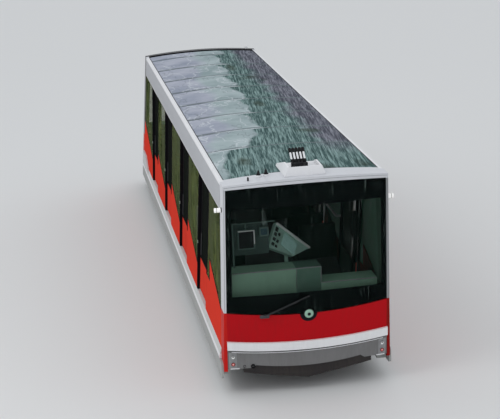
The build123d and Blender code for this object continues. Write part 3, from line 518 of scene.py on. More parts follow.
# where a finish changes: heights, and distances from the middle or behind a face
edges = {
    "doorTrim": 0.06,
    "panelTrim": 0.006,
    "postTrim": 0.02,
    "postRed": 1.32,
    "postLead": 0.2,
    "postSplit": 0.7,
    "sillFlank": 0.505,
    "sillBand": 0.575,
    "railFoot": 2.80,
    "railLip": 3.155,
    "portalTop": 3.188,
    "portalFoot": 3.13,
    "rightPillar": 1.05,
    "bandStart": 0.16,
    "bandStop": 0.055,
    "antennaTip": 3.272,
    "sleeveFoot": 3.405,
    "sleeveTop": 3.50,
    "column": 1.152,
    "cabTrim": 0.032,
    "cabTrimHalf": 1.142,
    "cabTrimReach": 1.0,
    "deskUnit": 0.052,
    "deskUnitHalf": 0.178,
}


def above(tree, level, axis="Z"):
    return calc(tree, "GREATER_THAN", axesOf(tree)[axis], level)


def below(tree, level, axis="Z"):
    return minus(tree, 1.0, above(tree, level, axis))


def flare(tree):
    # how much wider than the roof's edge the side walls are at this height
    return times(tree, minus(tree, car["roofEdge"], axesOf(tree)["Z"]), car["tumblehome"])


def fromMiddle(tree):
    return calc(tree, "ABSOLUTE", axesOf(tree)["X"])


def insideWall(tree, depth):
    # what lies deeper than this behind the side walls' outer face
    return calc(tree, "LESS_THAN", fromMiddle(tree), plus(tree, flare(tree), car["roofHalf"] - depth))


def sideRedTint(tree):
    return blend(tree, insideWall(tree, edges["panelTrim"]), tints["sideRed"], tints["trim"])


def doorTint(tree):
    low = blend(tree, insideWall(tree, edges["doorTrim"]), tints["sideRed"], tints["trim"])
    return blend(tree, above(tree, car["doorPanel"]), low, tints["black"])


def alongPosts(tree):
    # the place along the car where the slanting line through a point meets the roof's edge
    spot = axesOf(tree)
    return minus(tree, spot["Y"], times(tree, minus(tree, car["roofEdge"], spot["Z"]), lean))


def pastDoor(tree, lead=0.0):
    # how far a point lies past the start of its own doorway
    start = car["uphillY"] + car["firstDoor"] - lead
    return calc(tree, "MODULO", minus(tree, alongPosts(tree), start), car["doorPitch"])


def postTint(tree):
    # black all over the far posts, and above the red on the near ones
    lead = car["nearPost"] + edges["postLead"]
    farPost = calc(tree, "GREATER_THAN", pastDoor(tree, lead), edges["postSplit"])
    low = blend(tree, insideWall(tree, edges["postTrim"]), tints["sideRed"], tints["trim"])
    return blend(tree, calc(tree, "MAXIMUM", farPost, above(tree, edges["postRed"])), low, tints["black"])


def sillTint(tree):
    # a painted highlight as a white band along the middle, and painted shade as a grey flank below it
    band = blend(tree, above(tree, edges["sillFlank"]), tints["sillFlank"], tints["bright"])
    return blend(tree, above(tree, edges["sillBand"]), band, tints["sillTop"])


def railTint(tree):
    # a painted highlight along the top lip, and a bright band at the foot of the broad face
    face = blend(tree, above(tree, edges["railLip"]), tints["railFace"], tints["bright"])
    return blend(tree, above(tree, edges["railFoot"]), tints["railFoot"], face)


def frameTint(tree):
    # silver portals, with painted shade at the far end below the roof and on the right pillar, and a black
    # rear band over the last roof pane
    far = above(tree, downhillY - edges["bandStart"], "Y")
    lip = below(tree, downhillY + edges["bandStop"], "Y")
    high = above(tree, edges["portalTop"])
    tint = blend(tree, times(tree, far, minus(tree, 1.0, high)), tints["portal"], tints["farPortalShade"])
    # painted shade on the right pillar below the header
    shaded = times(tree, above(tree, edges["rightPillar"], "X"), below(tree, edges["portalFoot"]))
    tint = blend(tree, times(tree, shaded, 0.75), tint, tints["shadedPortal"])
    return blend(tree, times(tree, times(tree, far, lip), high), tint, tints["black"])


def fromLamp(tree, level):
    # distance from the axis of the end lamps at this height
    across = minus(tree, fromMiddle(tree), endLamps["x"])
    lift = minus(tree, axesOf(tree)["Z"], level)
    return calc(tree, "SQRT", plus(tree, times(tree, across, across), times(tree, lift, lift)))


def lampTint(tree):
    # a white bowl with a dark bulb above a red lens with a painted highlight in its middle
    bowl = ramp(tree, fromLamp(tree, endLamps["white"]), *endLamps["bowl"])
    white = blend(tree, bowl, (0.86, 0.87, 0.86), (0.22, 0.23, 0.22))
    bulb = ramp(tree, fromLamp(tree, endLamps["white"] + endLamps["bulbLift"]), *endLamps["bulb"], 1.0, 0.0)
    white = blend(tree, bulb, white, (0.03, 0.03, 0.035))
    fromRed = fromLamp(tree, endLamps["red"])
    red = blend(tree, ramp(tree, fromRed, *endLamps["lens"]), (0.55, 0.02, 0.018), (0.10, 0.003, 0.003))
    red = blend(tree, ramp(tree, fromRed, *endLamps["redHighlight"], 1.0, 0.0), red, (0.95, 0.60, 0.55))
    return blend(tree, above(tree, endLamps["split"]), red, white)


def antennaTint(tree):
    return blend(tree, above(tree, edges["antennaTip"]), tints["bright"], tints["black"])


def armTint(tree):
    # white insulating sleeves between the black foot and the black heads
    white = times(tree, above(tree, edges["sleeveFoot"]), below(tree, edges["sleeveTop"]))
    return blend(tree, white, tints["black"], tints["bright"])


def weave(tree, first, second, scale=260.0):
    wave = tree.nodes.new("ShaderNodeTexWave")
    wave.inputs["Scale"].default_value = scale
    link(tree, objectSpace(tree), wave.inputs["Vector"])
    patches = noise(tree, objectSpace(tree), 14.0)
    return blend(tree, times(tree, wave.outputs["Fac"], patches), first, second)


def ribbed(tree):
    wave = tree.nodes.new("ShaderNodeTexWave")
    wave.bands_direction = "X"
    wave.inputs["Scale"].default_value = 40.0
    link(tree, objectSpace(tree), wave.inputs["Vector"])
    return blend(tree, wave.outputs["Fac"], (0.05, 0.052, 0.055), (0.13, 0.13, 0.13))


def panelTint(tree):
    # painted light makes the columns' outer sides lighter on the left, and painted shade makes them darker on
    # the right, than the front
    outer = calc(tree, "GREATER_THAN", fromMiddle(tree), edges["column"])
    colour = blend(tree, outer, tints["red"], tints["litColumnRed"])
    colour = blend(tree, above(tree, edges["column"], "X"), colour, tints["shadedRed"])
    # the cab side of both panels is dark trim
    spot = axesOf(tree)
    reachX = fromMiddle(tree)
    bow = times(tree, times(tree, reachX, reachX), car["bulge"] / car["roofHalf"] ** 2)
    down = minus(tree, car["roofEdge"], spot["Z"])
    deep = []
    for side, cornerY, rake in ends.values():
        face = plus(tree, times(tree, down, rake), cornerY + side * car["bulge"])
        face = minus(tree, face, times(tree, bow, side))
        behind = times(tree, minus(tree, face, spot["Y"]), side)
        near = calc(tree, "LESS_THAN", behind, edges["cabTrimReach"])
        deep.append(times(tree, near, calc(tree, "GREATER_THAN", behind, edges["cabTrim"])))
    inner = calc(tree, "LESS_THAN", reachX, edges["cabTrimHalf"])
    return blend(tree, times(tree, calc(tree, "MAXIMUM", *deep), inner), colour, tints["trim"])


def deskTint(tree):
    # the uphill desk's middle unit is darker than the rest
    fromUnit = calc(tree, "ABSOLUTE", minus(tree, axesOf(tree)["X"], edges["deskUnit"]))
    unit = times(tree, calc(tree, "LESS_THAN", fromUnit, edges["deskUnitHalf"]), below(tree, 0.0, "Y"))
    return blend(tree, unit, (0.205, 0.355, 0.255), (0.085, 0.16, 0.12))


redPaint = coated("redPaint", panelTint, (0.30, 0.02, 0.02), 0.4, (0.30, 0.42), beads=42.0,
                  bump=(0.12, 0.001), specular=0.01)
sideRedPaint = coated("sideRedPaint", sideRedTint, (0.60, 0.05, 0.03), 0.5, (0.5, 0.7), beads=42.0,
                      bump=(0.1, 0.001), specular=0.0)
silverPaint = coated("silverPaint", tints["bright"], (0.50, 0.51, 0.52), 0.18, (0.3, 0.45), specular=0.2)
framePaint = coated("framePaint", frameTint, (0.50, 0.51, 0.52), 0.18, (0.35, 0.5), specular=0.15)
railPaint = coated("railPaint", railTint, (0.34, 0.35, 0.35), 0.22, (0.5, 0.7), specular=0.0)
greyPaint = coated("greyPaint", tints["grey"], (0.10, 0.10, 0.095), 0.35, (0.5, 0.7), specular=0.15)
blackPaint = coated("blackPaint", tints["black"], (0.03, 0.03, 0.03), 0.3, (0.3, 0.5), specular=0.06)
blackPlastic = coated("blackPlastic", (0.012, 0.012, 0.013), (0.035, 0.034, 0.032), 0.4, (0.5, 0.7),
                      bump=(0.25, 0.0006), specular=0.12)
greyPlastic = coated("greyPlastic", (0.07, 0.07, 0.075), (0.03, 0.03, 0.03), 0.4, (0.45, 0.6), specular=0.2)
chassisSteel = coated("chassisSteel", (0.04, 0.04, 0.043), tints["dirt"], 0.7, (0.5, 0.8), bump=(0.4, 0.001),
                      specular=0.25)
wheelSteel = coated("wheelSteel", (0.20, 0.19, 0.18), (0.10, 0.06, 0.04), 0.8, (0.3, 0.6), Metallic=0.7)
whiteTube = coated("whiteTube", (0.86, 0.87, 0.86), (0.6, 0.6, 0.58), 0.2, (0.35, 0.5), specular=0.2)
deskPlastic = coated("deskPlastic", deskTint, (0.12, 0.20, 0.15), 0.4, (0.6, 0.8), bump=(0.2, 0.0008),
                     specular=0.1)
consolePlastic = coated("consolePlastic", (0.40, 0.62, 0.52), (0.3, 0.45, 0.38), 0.2, (0.5, 0.7),
                        specular=0.15)
seatCover = coated("seatCover", lambda tree: weave(tree, (0.035, 0.05, 0.045), (0.014, 0.02, 0.018)),
                   (0.02, 0.03, 0.025), 0.4, (0.7, 0.9), bump=(0.5, 0.001), specular=0.1)
floorCover = coated("floorCover", ribbed, (0.10, 0.10, 0.09), 0.5, (0.6, 0.85), bump=(0.4, 0.001),
                    specular=0.15)
riserMetal = coated("riserMetal", (0.40, 0.41, 0.42), (0.2, 0.2, 0.19), 0.4, (0.35, 0.55), Metallic=0.8)
cabinMetal = coated("cabinMetal", (0.10, 0.11, 0.105), (0.06, 0.065, 0.06), 0.4, (0.5, 0.7), Metallic=0.5)
doorPaint = coated("doorPaint", doorTint, (0.03, 0.01, 0.01), 0.25, (0.5, 0.7), specular=0.0)
postPaint = coated("postPaint", postTint, (0.03, 0.01, 0.01), 0.25, (0.5, 0.7), specular=0.0)
sillPaint = coated("sillPaint", sillTint, (0.34, 0.34, 0.32), 0.3, (0.5, 0.7), specular=0.05)
lampGlass = coated("lampGlass", lampTint, (0.5, 0.4, 0.38), 0.15, (0.1, 0.2), Coat_Weight=1.0)
cornerWhite = coated("cornerWhite", (0.90, 0.90, 0.88), (0.6, 0.6, 0.58), 0.1, (0.3, 0.45), specular=0.2,
                     Emission_Color=(1.0, 0.98, 0.95), Emission_Strength=0.3)
antennaPaint = coated("antennaPaint", antennaTint, (0.2, 0.2, 0.2), 0.2, (0.4, 0.6), specular=0.1)
armPaint = coated("armPaint", armTint, (0.3, 0.3, 0.28), 0.2, (0.4, 0.6), specular=0.1)
rubber = coated("rubber", (0.016, 0.016, 0.017), (0.05, 0.048, 0.045), 0.4, (0.7, 0.85), bump=(0.3, 0.0006),
                specular=0.05)


sideLook = {
    "skin": 0.009,
    "besideDoor": (-6.08, -5.98),
    "outerCover": 0.56,
    "leftCover": 0.4,
    "rightCover": 0.96,
}
leafLook = {"fade": (0.26, 0.34), "oliveCover": 0.55, "darkCover": 0.94}
screenLook = {"tint": (0.006, 0.014, 0.011), "cover": 0.16, "streaks": 0.14}


def addDrops(tree, shader):
    # the fine standing drops that all upright panes share
    addBump(tree, shader, useGroup(tree, rainBeads, Scale=38.0, Cover=0.22)["Height"], 0.06, 0.001)


def oliveTint(tree):
    # a mottled olive reflection
    fine = noise(tree, objectSpace(tree, (1, 1, 0.5)), 5.0, 6.0, 0.65)
    broad = noise(tree, objectSpace(tree, (1, 1, 0.3)), 1.6, 3.0)
    green = blend(tree, ramp(tree, fine, 0.40, 0.62), (0.034, 0.040, 0.014), (0.225, 0.255, 0.075))
    return blend(tree, ramp(tree, broad, 0.42, 0.62), green, (0.130, 0.140, 0.070))


def buildSideGlass():
    # the outer faces carry a reflection, the inner ones only tint the view
    material, tree, shader = newMaterial("sideGlass", Roughness=0.1, Specular_IOR_Level=0.0)
    wallX = plus(tree, car["roofHalf"] - sideLook["skin"], flare(tree))
    outer = calc(tree, "GREATER_THAN", fromMiddle(tree), wallX)
    # seen from inside, painted light makes the first pane brightest beside the doorway
    beside = ramp(tree, axesOf(tree)["Y"], *sideLook["besideDoor"], 0.4, 1.0)
    innerTint = blend(tree, beside, (0.02, 0.05, 0.032), (0.075, 0.20, 0.125))
    link(tree, blend(tree, outer, innerTint, oliveTint(tree)), shader.inputs["Base Color"])
    inside = ramp(tree, above(tree, 0.0, "X"), 0.0, 1.0, sideLook["leftCover"], sideLook["rightCover"])
    inside = times(tree, minus(tree, 1.0, outer), inside)
    link(tree, plus(tree, times(tree, outer, sideLook["outerCover"]), inside), shader.inputs["Alpha"])
    addDrops(tree, shader)
    return material


def buildDoorGlass():
    # painted shade in the recess of the wall, with a painted reflection at each leaf's uphill edge
    material, tree, shader = newMaterial("doorGlass", Roughness=0.1, Specular_IOR_Level=0.0)
    dark = ramp(tree, pastDoor(tree), *leafLook["fade"])
    link(tree, blend(tree, dark, oliveTint(tree), (0.012, 0.014, 0.012)), shader.inputs["Base Color"])
    cover = ramp(tree, dark, 0.0, 1.0, leafLook["oliveCover"], leafLook["darkCover"])
    link(tree, cover, shader.inputs["Alpha"])
    addDrops(tree, shader)
    return material


def buildScreenGlass():
    # a clear pane with a faint tint and rain streaks: alpha carries both
    material, tree, shader = newMaterial("screenGlass", Roughness=0.04, Specular_IOR_Level=0.03)
    lighter = tuple(value * 1.35 for value in screenLook["tint"])
    colour = blend(tree, noise(tree, objectSpace(tree), 1.3, 5.0), screenLook["tint"], lighter)
    fall = noise(tree, objectSpace(tree, (22, 22, 0.7), (0, math.radians(6), 0)), 1.7, 4.0, 0.6)
    mark = ramp(tree, fall, 0.60, 0.76)
    link(tree, blend(tree, mark, colour, (0.26, 0.33, 0.30)), shader.inputs["Base Color"])
    cover = screenLook["cover"]
    link(tree, ramp(tree, mark, 0.0, 1.0, cover, cover + screenLook["streaks"]), shader.inputs["Alpha"])
    addDrops(tree, shader)
    return material


sideGlass = buildSideGlass()
doorGlass = buildDoorGlass()
screenGlass = buildScreenGlass()
ploughPaint = coated("ploughPaint", (0.036, 0.032, 0.032), (0.07, 0.06, 0.05), 0.5, (0.5, 0.7), specular=0.15)
wiperBlack = coated("wiperBlack", (0.032, 0.032, 0.035), (0.06, 0.06, 0.06), 0.4, (0.5, 0.7), specular=0.1)

roofLook = {
    "edge": -1.25,
    "nearTaper": 0.345,
    "nearLength": 3.3,
    "farTaper": 0.055,
    "step": 0.13,
    "firstPane": 1.9,
    "turn": 5.5,
    "stretch": 0.045,
    "violetStart": 1.3,
    "violetStop": 2.3,
    "lastBand": 0.29,
    "blots": [
        (-0.66, 1.23, 0.13, 0.34),
        (0.23, 5.27, 0.12, 0.30),
        (0.62, 2.96, 0.26, 0.20),
        (0.30, 9.1, 0.12, 0.45),
    ],
}


def paleReflectionEdge(tree):
    # how far the painted pale reflection reaches across the roof: widening fast at first, then slowly
    u = minus(tree, axesOf(tree)["Y"], car["uphillY"])
    near = times(tree, calc(tree, "MINIMUM", u, roofLook["nearLength"]), roofLook["nearTaper"])
    past = calc(tree, "MAXIMUM", minus(tree, u, roofLook["nearLength"]), 0.0)
    reach = plus(tree, near, times(tree, past, roofLook["farTaper"]))
    return plus(tree, reach, roofLook["edge"])


def darkBlots(tree):
    # dark marks on the wet glass: soft ovals with a ragged edge
    spot = axesOf(tree)
    ragged = times(tree, noise(tree, objectSpace(tree), 9.0, 5.0, 0.7), 1.6)
    cover = 0.0
    for x, u, wide, long in roofLook["blots"]:
        across = calc(tree, "DIVIDE", minus(tree, spot["X"], x), wide)
        down = calc(tree, "DIVIDE", minus(tree, spot["Y"], car["uphillY"] + u), long)
        square = plus(tree, times(tree, across, across), times(tree, down, down))
        cover = calc(tree, "MAXIMUM", cover, ramp(tree, plus(tree, square, ragged), 1.7, 0.7))
    return cover


def thinLine(tree, value, level, width):
    # a line wherever a noise passes a level
    return ramp(tree, calc(tree, "ABSOLUTE", minus(tree, value, level)), 0.0, width, 1.0, 0.0)


def rainAndReflectionTint(tree, wetMask, cloud):
    # running rain over a painted reflection: teal, violet along the right, with dark patches
    spot = axesOf(tree)
    teal = blend(tree, wetMask, (0.060, 0.105, 0.103), (0.28, 0.40, 0.385))
    violet = blend(tree, wetMask, (0.085, 0.090, 0.112), (0.28, 0.29, 0.335))
    rightSide = ramp(tree, plus(tree, spot["X"], times(tree, cloud, 0.7)), 0.84, 1.10)
    start = car["uphillY"] + roofLook["violetStart"]
    rightSide = times(tree, rightSide, ramp(tree, spot["Y"], start, car["uphillY"] + roofLook["violetStop"]))
    wetReflection = blend(tree, rightSide, teal, violet)
    patches = noise(tree, objectSpace(tree, (1, 0.8, 1), place=(3.1, 0.7, 0)), 1.4, 3.0)
    return blend(tree, times(tree, ramp(tree, patches, 0.62, 0.74), 0.75), wetReflection, (0.040, 0.050, 0.038))


def paleReflectionTint(tree, depth, along, cloud, swirl):
    # a painted pale reflection, darkest behind each seam as a painted shadow under the bow, with curls and
    # rings drawn in it
    light = ramp(tree, cloud, 0.35, 0.65)
    outer = blend(tree, light, (0.33, 0.36, 0.435), (0.48, 0.50, 0.57))
    inner = blend(tree, light, (0.30, 0.375, 0.385), (0.44, 0.52, 0.53))
    reflectedTone = blend(tree, ramp(tree, depth, 0.62, 0.42), outer, inner)
    # painted shadow just behind each seam
    reflectedTone = blend(tree, ramp(tree, along, 0.03, 0.15, 1.0, 0.0), reflectedTone, (0.14, 0.165, 0.175))
    curl = noise(tree, objectSpace(tree, (1, 0.5, 1), place=(5.2, 1.7, 0)), 2.6, 6.0, 0.45)
    reflectedTone = blend(tree, times(tree, thinLine(tree, curl, 0.52, 0.010), 0.6), reflectedTone, (0.17, 0.19, 0.21))
    return blend(tree, times(tree, thinLine(tree, swirl, 0.5, 0.014), 0.7), reflectedTone, (0.64, 0.68, 0.71))


def buildRoofGlass():
    # wet tinted panes: a painted pale reflection along the left, and running rain over a painted teal and
    # violet reflection on the rest
    material, tree, shader = newMaterial("roofGlass", Specular_IOR_Level=0.0)
    spot = axesOf(tree)
    drawn = tree.nodes.new("ShaderNodeMapping")
    drawn.inputs["Scale"].default_value = (1, roofLook["stretch"], 1)
    turned = objectSpace(tree, turn=(0, 0, math.radians(roofLook["turn"])))
    link(tree, turned, drawn.inputs["Vector"])
    streak = noise(tree, drawn.outputs[0], 28.0, 3.0, 0.6)
    fine = noise(tree, drawn.outputs[0], 75.0, 2.0, 0.6)
    cloud = noise(tree, objectSpace(tree), 1.5, 5.0, 0.6)
    swirl = noise(tree, objectSpace(tree, (1, 0.55, 1)), 1.9, 8.0, 0.5)
    wetMask = ramp(tree, plus(tree, times(tree, streak, 0.55), times(tree, fine, 0.45)), 0.44, 0.61)
    # the painted pale reflection ends in a step at each pane's seam
    past = minus(tree, spot["Y"], car["uphillY"] + car["firstSeam"])
    first = times(tree, calc(tree, "LESS_THAN", past, 0.0), plus(tree, past, roofLook["firstPane"]))
    later = calc(tree, "MODULO", calc(tree, "MAXIMUM", past, 0.0), car["panePitch"])
    along = plus(tree, later, first)
    edge = minus(tree, paleReflectionEdge(tree), times(tree, along, roofLook["step"]))
    reach = plus(tree, edge, times(tree, minus(tree, swirl, 0.4), 0.7))
    depth = minus(tree, reach, spot["X"])
    reflectionMask = ramp(tree, depth, -0.03, 0.04)
    glass = blend(tree, reflectionMask, rainAndReflectionTint(tree, wetMask, cloud), paleReflectionTint(tree, depth, along, cloud, swirl))
    glass = blend(tree, times(tree, darkBlots(tree), 0.8), glass, (0.055, 0.070, 0.052))
    lastBand = above(tree, downhillY - roofLook["lastBand"], "Y")
    link(tree, blend(tree, lastBand, glass, tints["black"]), shader.inputs["Base Color"])
    link(tree, ramp(tree, reflectionMask, 0.0, 1.0, 0.25, 0.45), shader.inputs["Roughness"])
    drops = useGroup(tree, rainBeads, Scale=30.0, Cover=0.3)["Height"]
    addBump(tree, shader, plus(tree, wetMask, times(tree, drops, 0.4)), 0.12, 0.002)
    return material


roofGlass = buildRoofGlass()

finishOf = {
    "antennas": antennaPaint, "bench_backs": seatCover, "bench_seats": seatCover,
    "bumper_strips": silverPaint,
    "cable_anchor": chassisSteel, "cant_rails": railPaint, "corner_lamps": cornerWhite,
    "cross_members": chassisSteel, "current_collector": armPaint, "door_posts": postPaint,
    "driver_desks": deskPlastic, "end_frames": framePaint, "end_lamps": lampGlass, "end_panels": redPaint,
    "fascias": greyPaint, "floor_bearers": chassisSteel, "floor_risers": cabinMetal,
    "floor_treads": floorCover, "grab_poles": whiteTube, "headlights": blackPaint,
    "instrument_panels": consolePlastic, "longitudinal_beams": chassisSteel, "ploughs": ploughPaint,
    "roof_bows": cabinMetal, "roof_glass": roofGlass, "roof_tray": silverPaint, "side_panels": sideRedPaint,
    "side_sills": sillPaint, "side_windows": sideGlass, "window_rails": whiteTube,
    "windshields": screenGlass, "wipers": wiperBlack,
}
for name in nodes:
    if "door_glass" in name:
        finishOf[name] = doorGlass
    elif "_door_" in name:
        finishOf[name] = doorPaint
    elif name.startswith("wheelset"):
        finishOf[name] = wheelSteel
    elif "bogie" in name or "brake" in name:
        finishOf[name] = chassisSteel
for name, material in finishOf.items():
    slots = nodes[name].material_slots
    for slot in slots:
        slot.material = material
    if not slots:
        nodes[name].data.materials.append(material)
print("finishes on", len(finishOf), "of", len(nodes), "nodes")

# black printed border behind both windshields
border = {
    "side": 0.075,
    "top": 0.28,
    "bottom": 0.235,
    "foot": 1.31,
    "footDip": 0.085,
    "head": 3.135,
    "headRise": 0.04,
    "bow": 0.01,
    "play": 0.002,
    "half": 1.148,
    "taper": 0.018,
    "open": (1.6, 2.8),
    "openHalf": 1.06,
    "behind": 0.0135,
    "thick": 0.0015,
    "columns": 24,
}
screenBlack = coated(
    "screenBlack", (0.003, 0.003, 0.004), (0.008, 0.009, 0.010), 0.5, (0.4, 0.6), specular=0.0
)


def inOpening(center, normal):
    low, high = border["open"]
    return low < center.z < high and abs(center.x) < border["openHalf"]


def makeBorder(end):
    columns, foot, head = border["columns"], border["foot"], border["head"]
    inner = 1 - border["side"] / car["roofHalf"]
    deselectAll()
    bpy.ops.mesh.primitive_grid_add(x_subdivisions=columns, y_subdivisions=3, size=2)
    piece = named(f"screenBorder_{end}")
    for vertex in piece.data.vertices:
        across = round((vertex.co.x + 1) / 2 * columns)
        row = round((vertex.co.y + 1) / 2 * 3)
        share = inner * (2 * (across - 1) / (columns - 2) - 1)
        if across in (0, columns):
            share = 2 * across / columns - 1
        bow = 1 - share**2
        z = (
            foot + border["play"] - border["footDip"] * bow,
            foot + border["bottom"] + border["bow"] * bow,
            head - border["top"] - border["bow"] * bow,
            head - border["play"] + border["headRise"] * bow,
        )[row]
        x = share * (border["half"] - border["taper"] * (z - foot))
        vertex.co = endPoint(end, x, z, -border["behind"])
    pickFaces(piece, inOpening)
    bpy.ops.mesh.delete(type="FACE")
    editMode(False)
    addModifier(piece, "SOLIDIFY", thickness=border["thick"], offset=0)
    return finishPiece(piece, screenBlack, "black_paint")


for end in ends:
    makeBorder(end)
print("screen borders are in")

# roof joints: a strip in each seam, gaskets along both rails and at both headers
joints = {
    "count": 7,
    "width": 0.034,
    "thick": 0.004,
    "lift": 0.0015,
    "start": 0.35,
    "stop": 11.45,
    "half": 1.086,
}
gasket = {"x": 1.0885, "sideWidth": 0.010, "endWidth": 0.012, "thick": 0.003, "lift": 0.0012}


def seamTint(tree):
    # dark near the left edge, pale as a painted highlight across the rest of the painted pale reflection,
    # darker where the glass is wet
    past = minus(tree, axesOf(tree)["X"], paleReflectionEdge(tree))
    pale = blend(tree, ramp(tree, past, -0.75, -0.45), (0.17, 0.195, 0.21), (0.64, 0.70, 0.72))
    return blend(tree, ramp(tree, past, -0.02, 0.12), pale, (0.17, 0.215, 0.22))


def arcAcross(u, lift):
    return [(x, car["uphillY"] + u, roofZ(x) + lift) for x in stepsAcross(joints["half"])]


seamGrey = coated("seamGrey", seamTint, (0.30, 0.34, 0.36), 0.6, (0.6, 0.8), specular=0.0)
seams = []
for i in range(joints["count"]):
    arc = arcAcross(car["firstSeam"] + i * car["panePitch"], joints["lift"])
    seams.append(makeStrip("seam", arc, joints["width"], joints["thick"], (0, 1, 0)))
finishJoined(seams, "roofSeams", seamGrey, "grey_paint")
gaskets = []
for side in (-1, 1):
    line = [
        (side * gasket["x"], car["uphillY"] + u, car["roofEdge"] + gasket["lift"])
        for u in (joints["start"] + 0.01, joints["stop"])
    ]
    gaskets.append(makeStrip("gasket", line, gasket["sideWidth"], gasket["thick"], (1, 0, 0)))
for u in (joints["start"] + 0.006, joints["stop"]):
    arc = arcAcross(u, gasket["lift"])
    gaskets.append(makeStrip("gasket", arc, gasket["endWidth"], gasket["thick"], (0, 1, 0)))
finishJoined(gaskets, "roofGaskets", rubber, "black_plastic")
print("roof joints are in")

# headlights: a rim, a fluted lens and a dark shade in its middle
headlight = {"radius": 0.0745, "rim": 0.005, "out": 0.0205, "lens": 0.066, "bulge": 0.018, "shade": 0.024}
lensGreen, lensTree, lensShader = newMaterial("lensGreen", Coat_Weight=1.0, Roughness=0.08)
flute = lensTree.nodes.new("ShaderNodeTexWave")
flute.inputs["Scale"].default_value = 30.0
flute.inputs["Distortion"].default_value = 1.5
link(lensTree, objectSpace(lensTree), flute.inputs["Vector"])
fluteTint = blend(lensTree, flute.outputs["Fac"], (0.11, 0.27, 0.18), (0.46, 0.72, 0.55))
link(lensTree, fluteTint, lensShader.inputs["Base Color"])
addBump(lensTree, lensShader, flute.outputs["Fac"], 0.3, 0.001)
for end in ends:
    normal = endNormal(end, 0)
    place = endPoint(end, 0, car["headlightZ"], headlight["out"])
    rim = makeCup(f"headlightRim_{end}", headlight["radius"], 0.010, headlight["rim"], 0.006)
    finishPiece(standOn(rim, place, normal), blackPlastic, "black_plastic")
    lens = makeDome(f"headlightLens_{end}", headlight["lens"], headlight["bulge"])
    finishPiece(standOn(lens, place + normal * 0.004, normal), lensGreen, "lamp_white")
    shade = makeCup(f"headlightShade_{end}", headlight["shade"], 0.006, 0.005, 0.003, 24)
    finishPiece(standOn(shade, place + normal * 0.0195, normal), blackPaint, "black_plastic")

# end lamps: a plate with two rims at each corner, and a step strip below it
plateGrey = coated("plateGrey", (0.30, 0.30, 0.305), (0.18, 0.18, 0.18), 0.3, (0.4, 0.6), specular=0.2)
lamps = {**endLamps, "radius": 0.036, "plate": (0.115, 0.255, 0.006), "inset": -0.006}
footStrip = {"x": 1.06, "z": 0.433, "size": (0.13, 0.012, 0.016)}
for end in ends:
    plates = []
    rims = []
    steps = []
    for side in (-1, 1):
        x = side * lamps["x"]
        normal = endNormal(end, x)
        middle = endPoint(end, x, (lamps["white"] + lamps["red"]) / 2, lamps["inset"] + 0.001)
        plates.append(standOn(makeBlock("plate", lamps["plate"], 0.0025), middle, normal))
        for level in (lamps["white"], lamps["red"]):
            rim = makeCup("rim", lamps["radius"], 0.011, 0.007, 0.004, 28)
            rims.append(standOn(rim, endPoint(end, x, level, lamps["inset"]), normal))
        low = endPoint(end, side * footStrip["x"], footStrip["z"])
        steps.append(standOn(makeBlock("step", footStrip["size"], 0.003), low, normal))
    finishJoined(plates, f"lampPlates_{end}", plateGrey, "grey_paint")
    finishJoined(rims, f"lampRims_{end}", riserMetal, "silver_paint")
    finishJoined(steps, f"footStrips_{end}", silverPaint, "silver_paint")
print("lamps are in")

# wiper mounts: a rounded housing over the pivot, a nut on it and clips on the blade
wiper = {
    "pivot": (-0.626, 1.236),
    "housing": (0.145, 0.055, 0.024),
    "nut": 0.016,
    "clips": [(-0.275, 1.381), (-0.15, 1.430), (-0.01, 1.485)],
    "clip": (0.034, 0.020, 0.012),
    "angle": math.radians(24),
}
for end in ends:
    x, z = wiper["pivot"]
    normal = endNormal(end, x)
    housing = makeBlock("housing", wiper["housing"], 0.009, 3, 0.8)
    housing = standOn(housing, endPoint(end, x, z - 0.006, 0.022), normal)
    nut = standOn(makeCup("nut", wiper["nut"], 0.010, 0.004, -0.004, 6), endPoint(end, x, z, 0.034), normal)
    finishJoined([housing, nut], f"wiperMount_{end}", greyPlastic, "grey_paint")
    clips = []
    for x, z in wiper["clips"]:
        clip = makeBlock("clip", wiper["clip"], 0.003, 2, 0.7)
        clips.append(standOn(clip, endPoint(end, x, z, 0.024), endNormal(end, x), wiper["angle"]))
    finishJoined(clips, f"wiperClips_{end}", wiperBlack, "black_plastic")
print("wiper mounts are in")

# windows: a rubber frame round each side window and each door pane
rubbers = {"side": 0.007, "sideOut": -0.003, "door": 0.006, "doorOut": -0.046}
zone = {
    "low": 1.15,
    "rise": 0.37,
    "lastHigh": 1.75,
    "firstLow": 1.27,
    "firstPeak": (1.15, 1.695),
    "firstDip": (1.21, 1.33),
}
leaf = {
    "inset": 0.07,
    "play": 0.006,
    "pane": (1.27, 2.72),
    "edge": 0.938,
    "edgeOut": -0.057,
    "edgeEnds": (0.70, 2.82),
    "pull": 0.875,
    "pullZ": 1.53,
    "pullOut": -0.0393,
    "pullSize": (0.036, 0.42, 0.004),
}


def pillarU(z):
    return (car["roofEdge"] - z) * ends["uphill"][2] + car["pillar"]


def tailU(z):
    return car["roofLength"] + (car["roofEdge"] - z) * ends["downhill"][2] - car["pillar"]


def wallPoint(side, u, z, out):
    # u is taken straight along the track here, with no shift down the slope
    return Vector((side * (halfWidth(z) + out), car["uphillY"] + u, z))


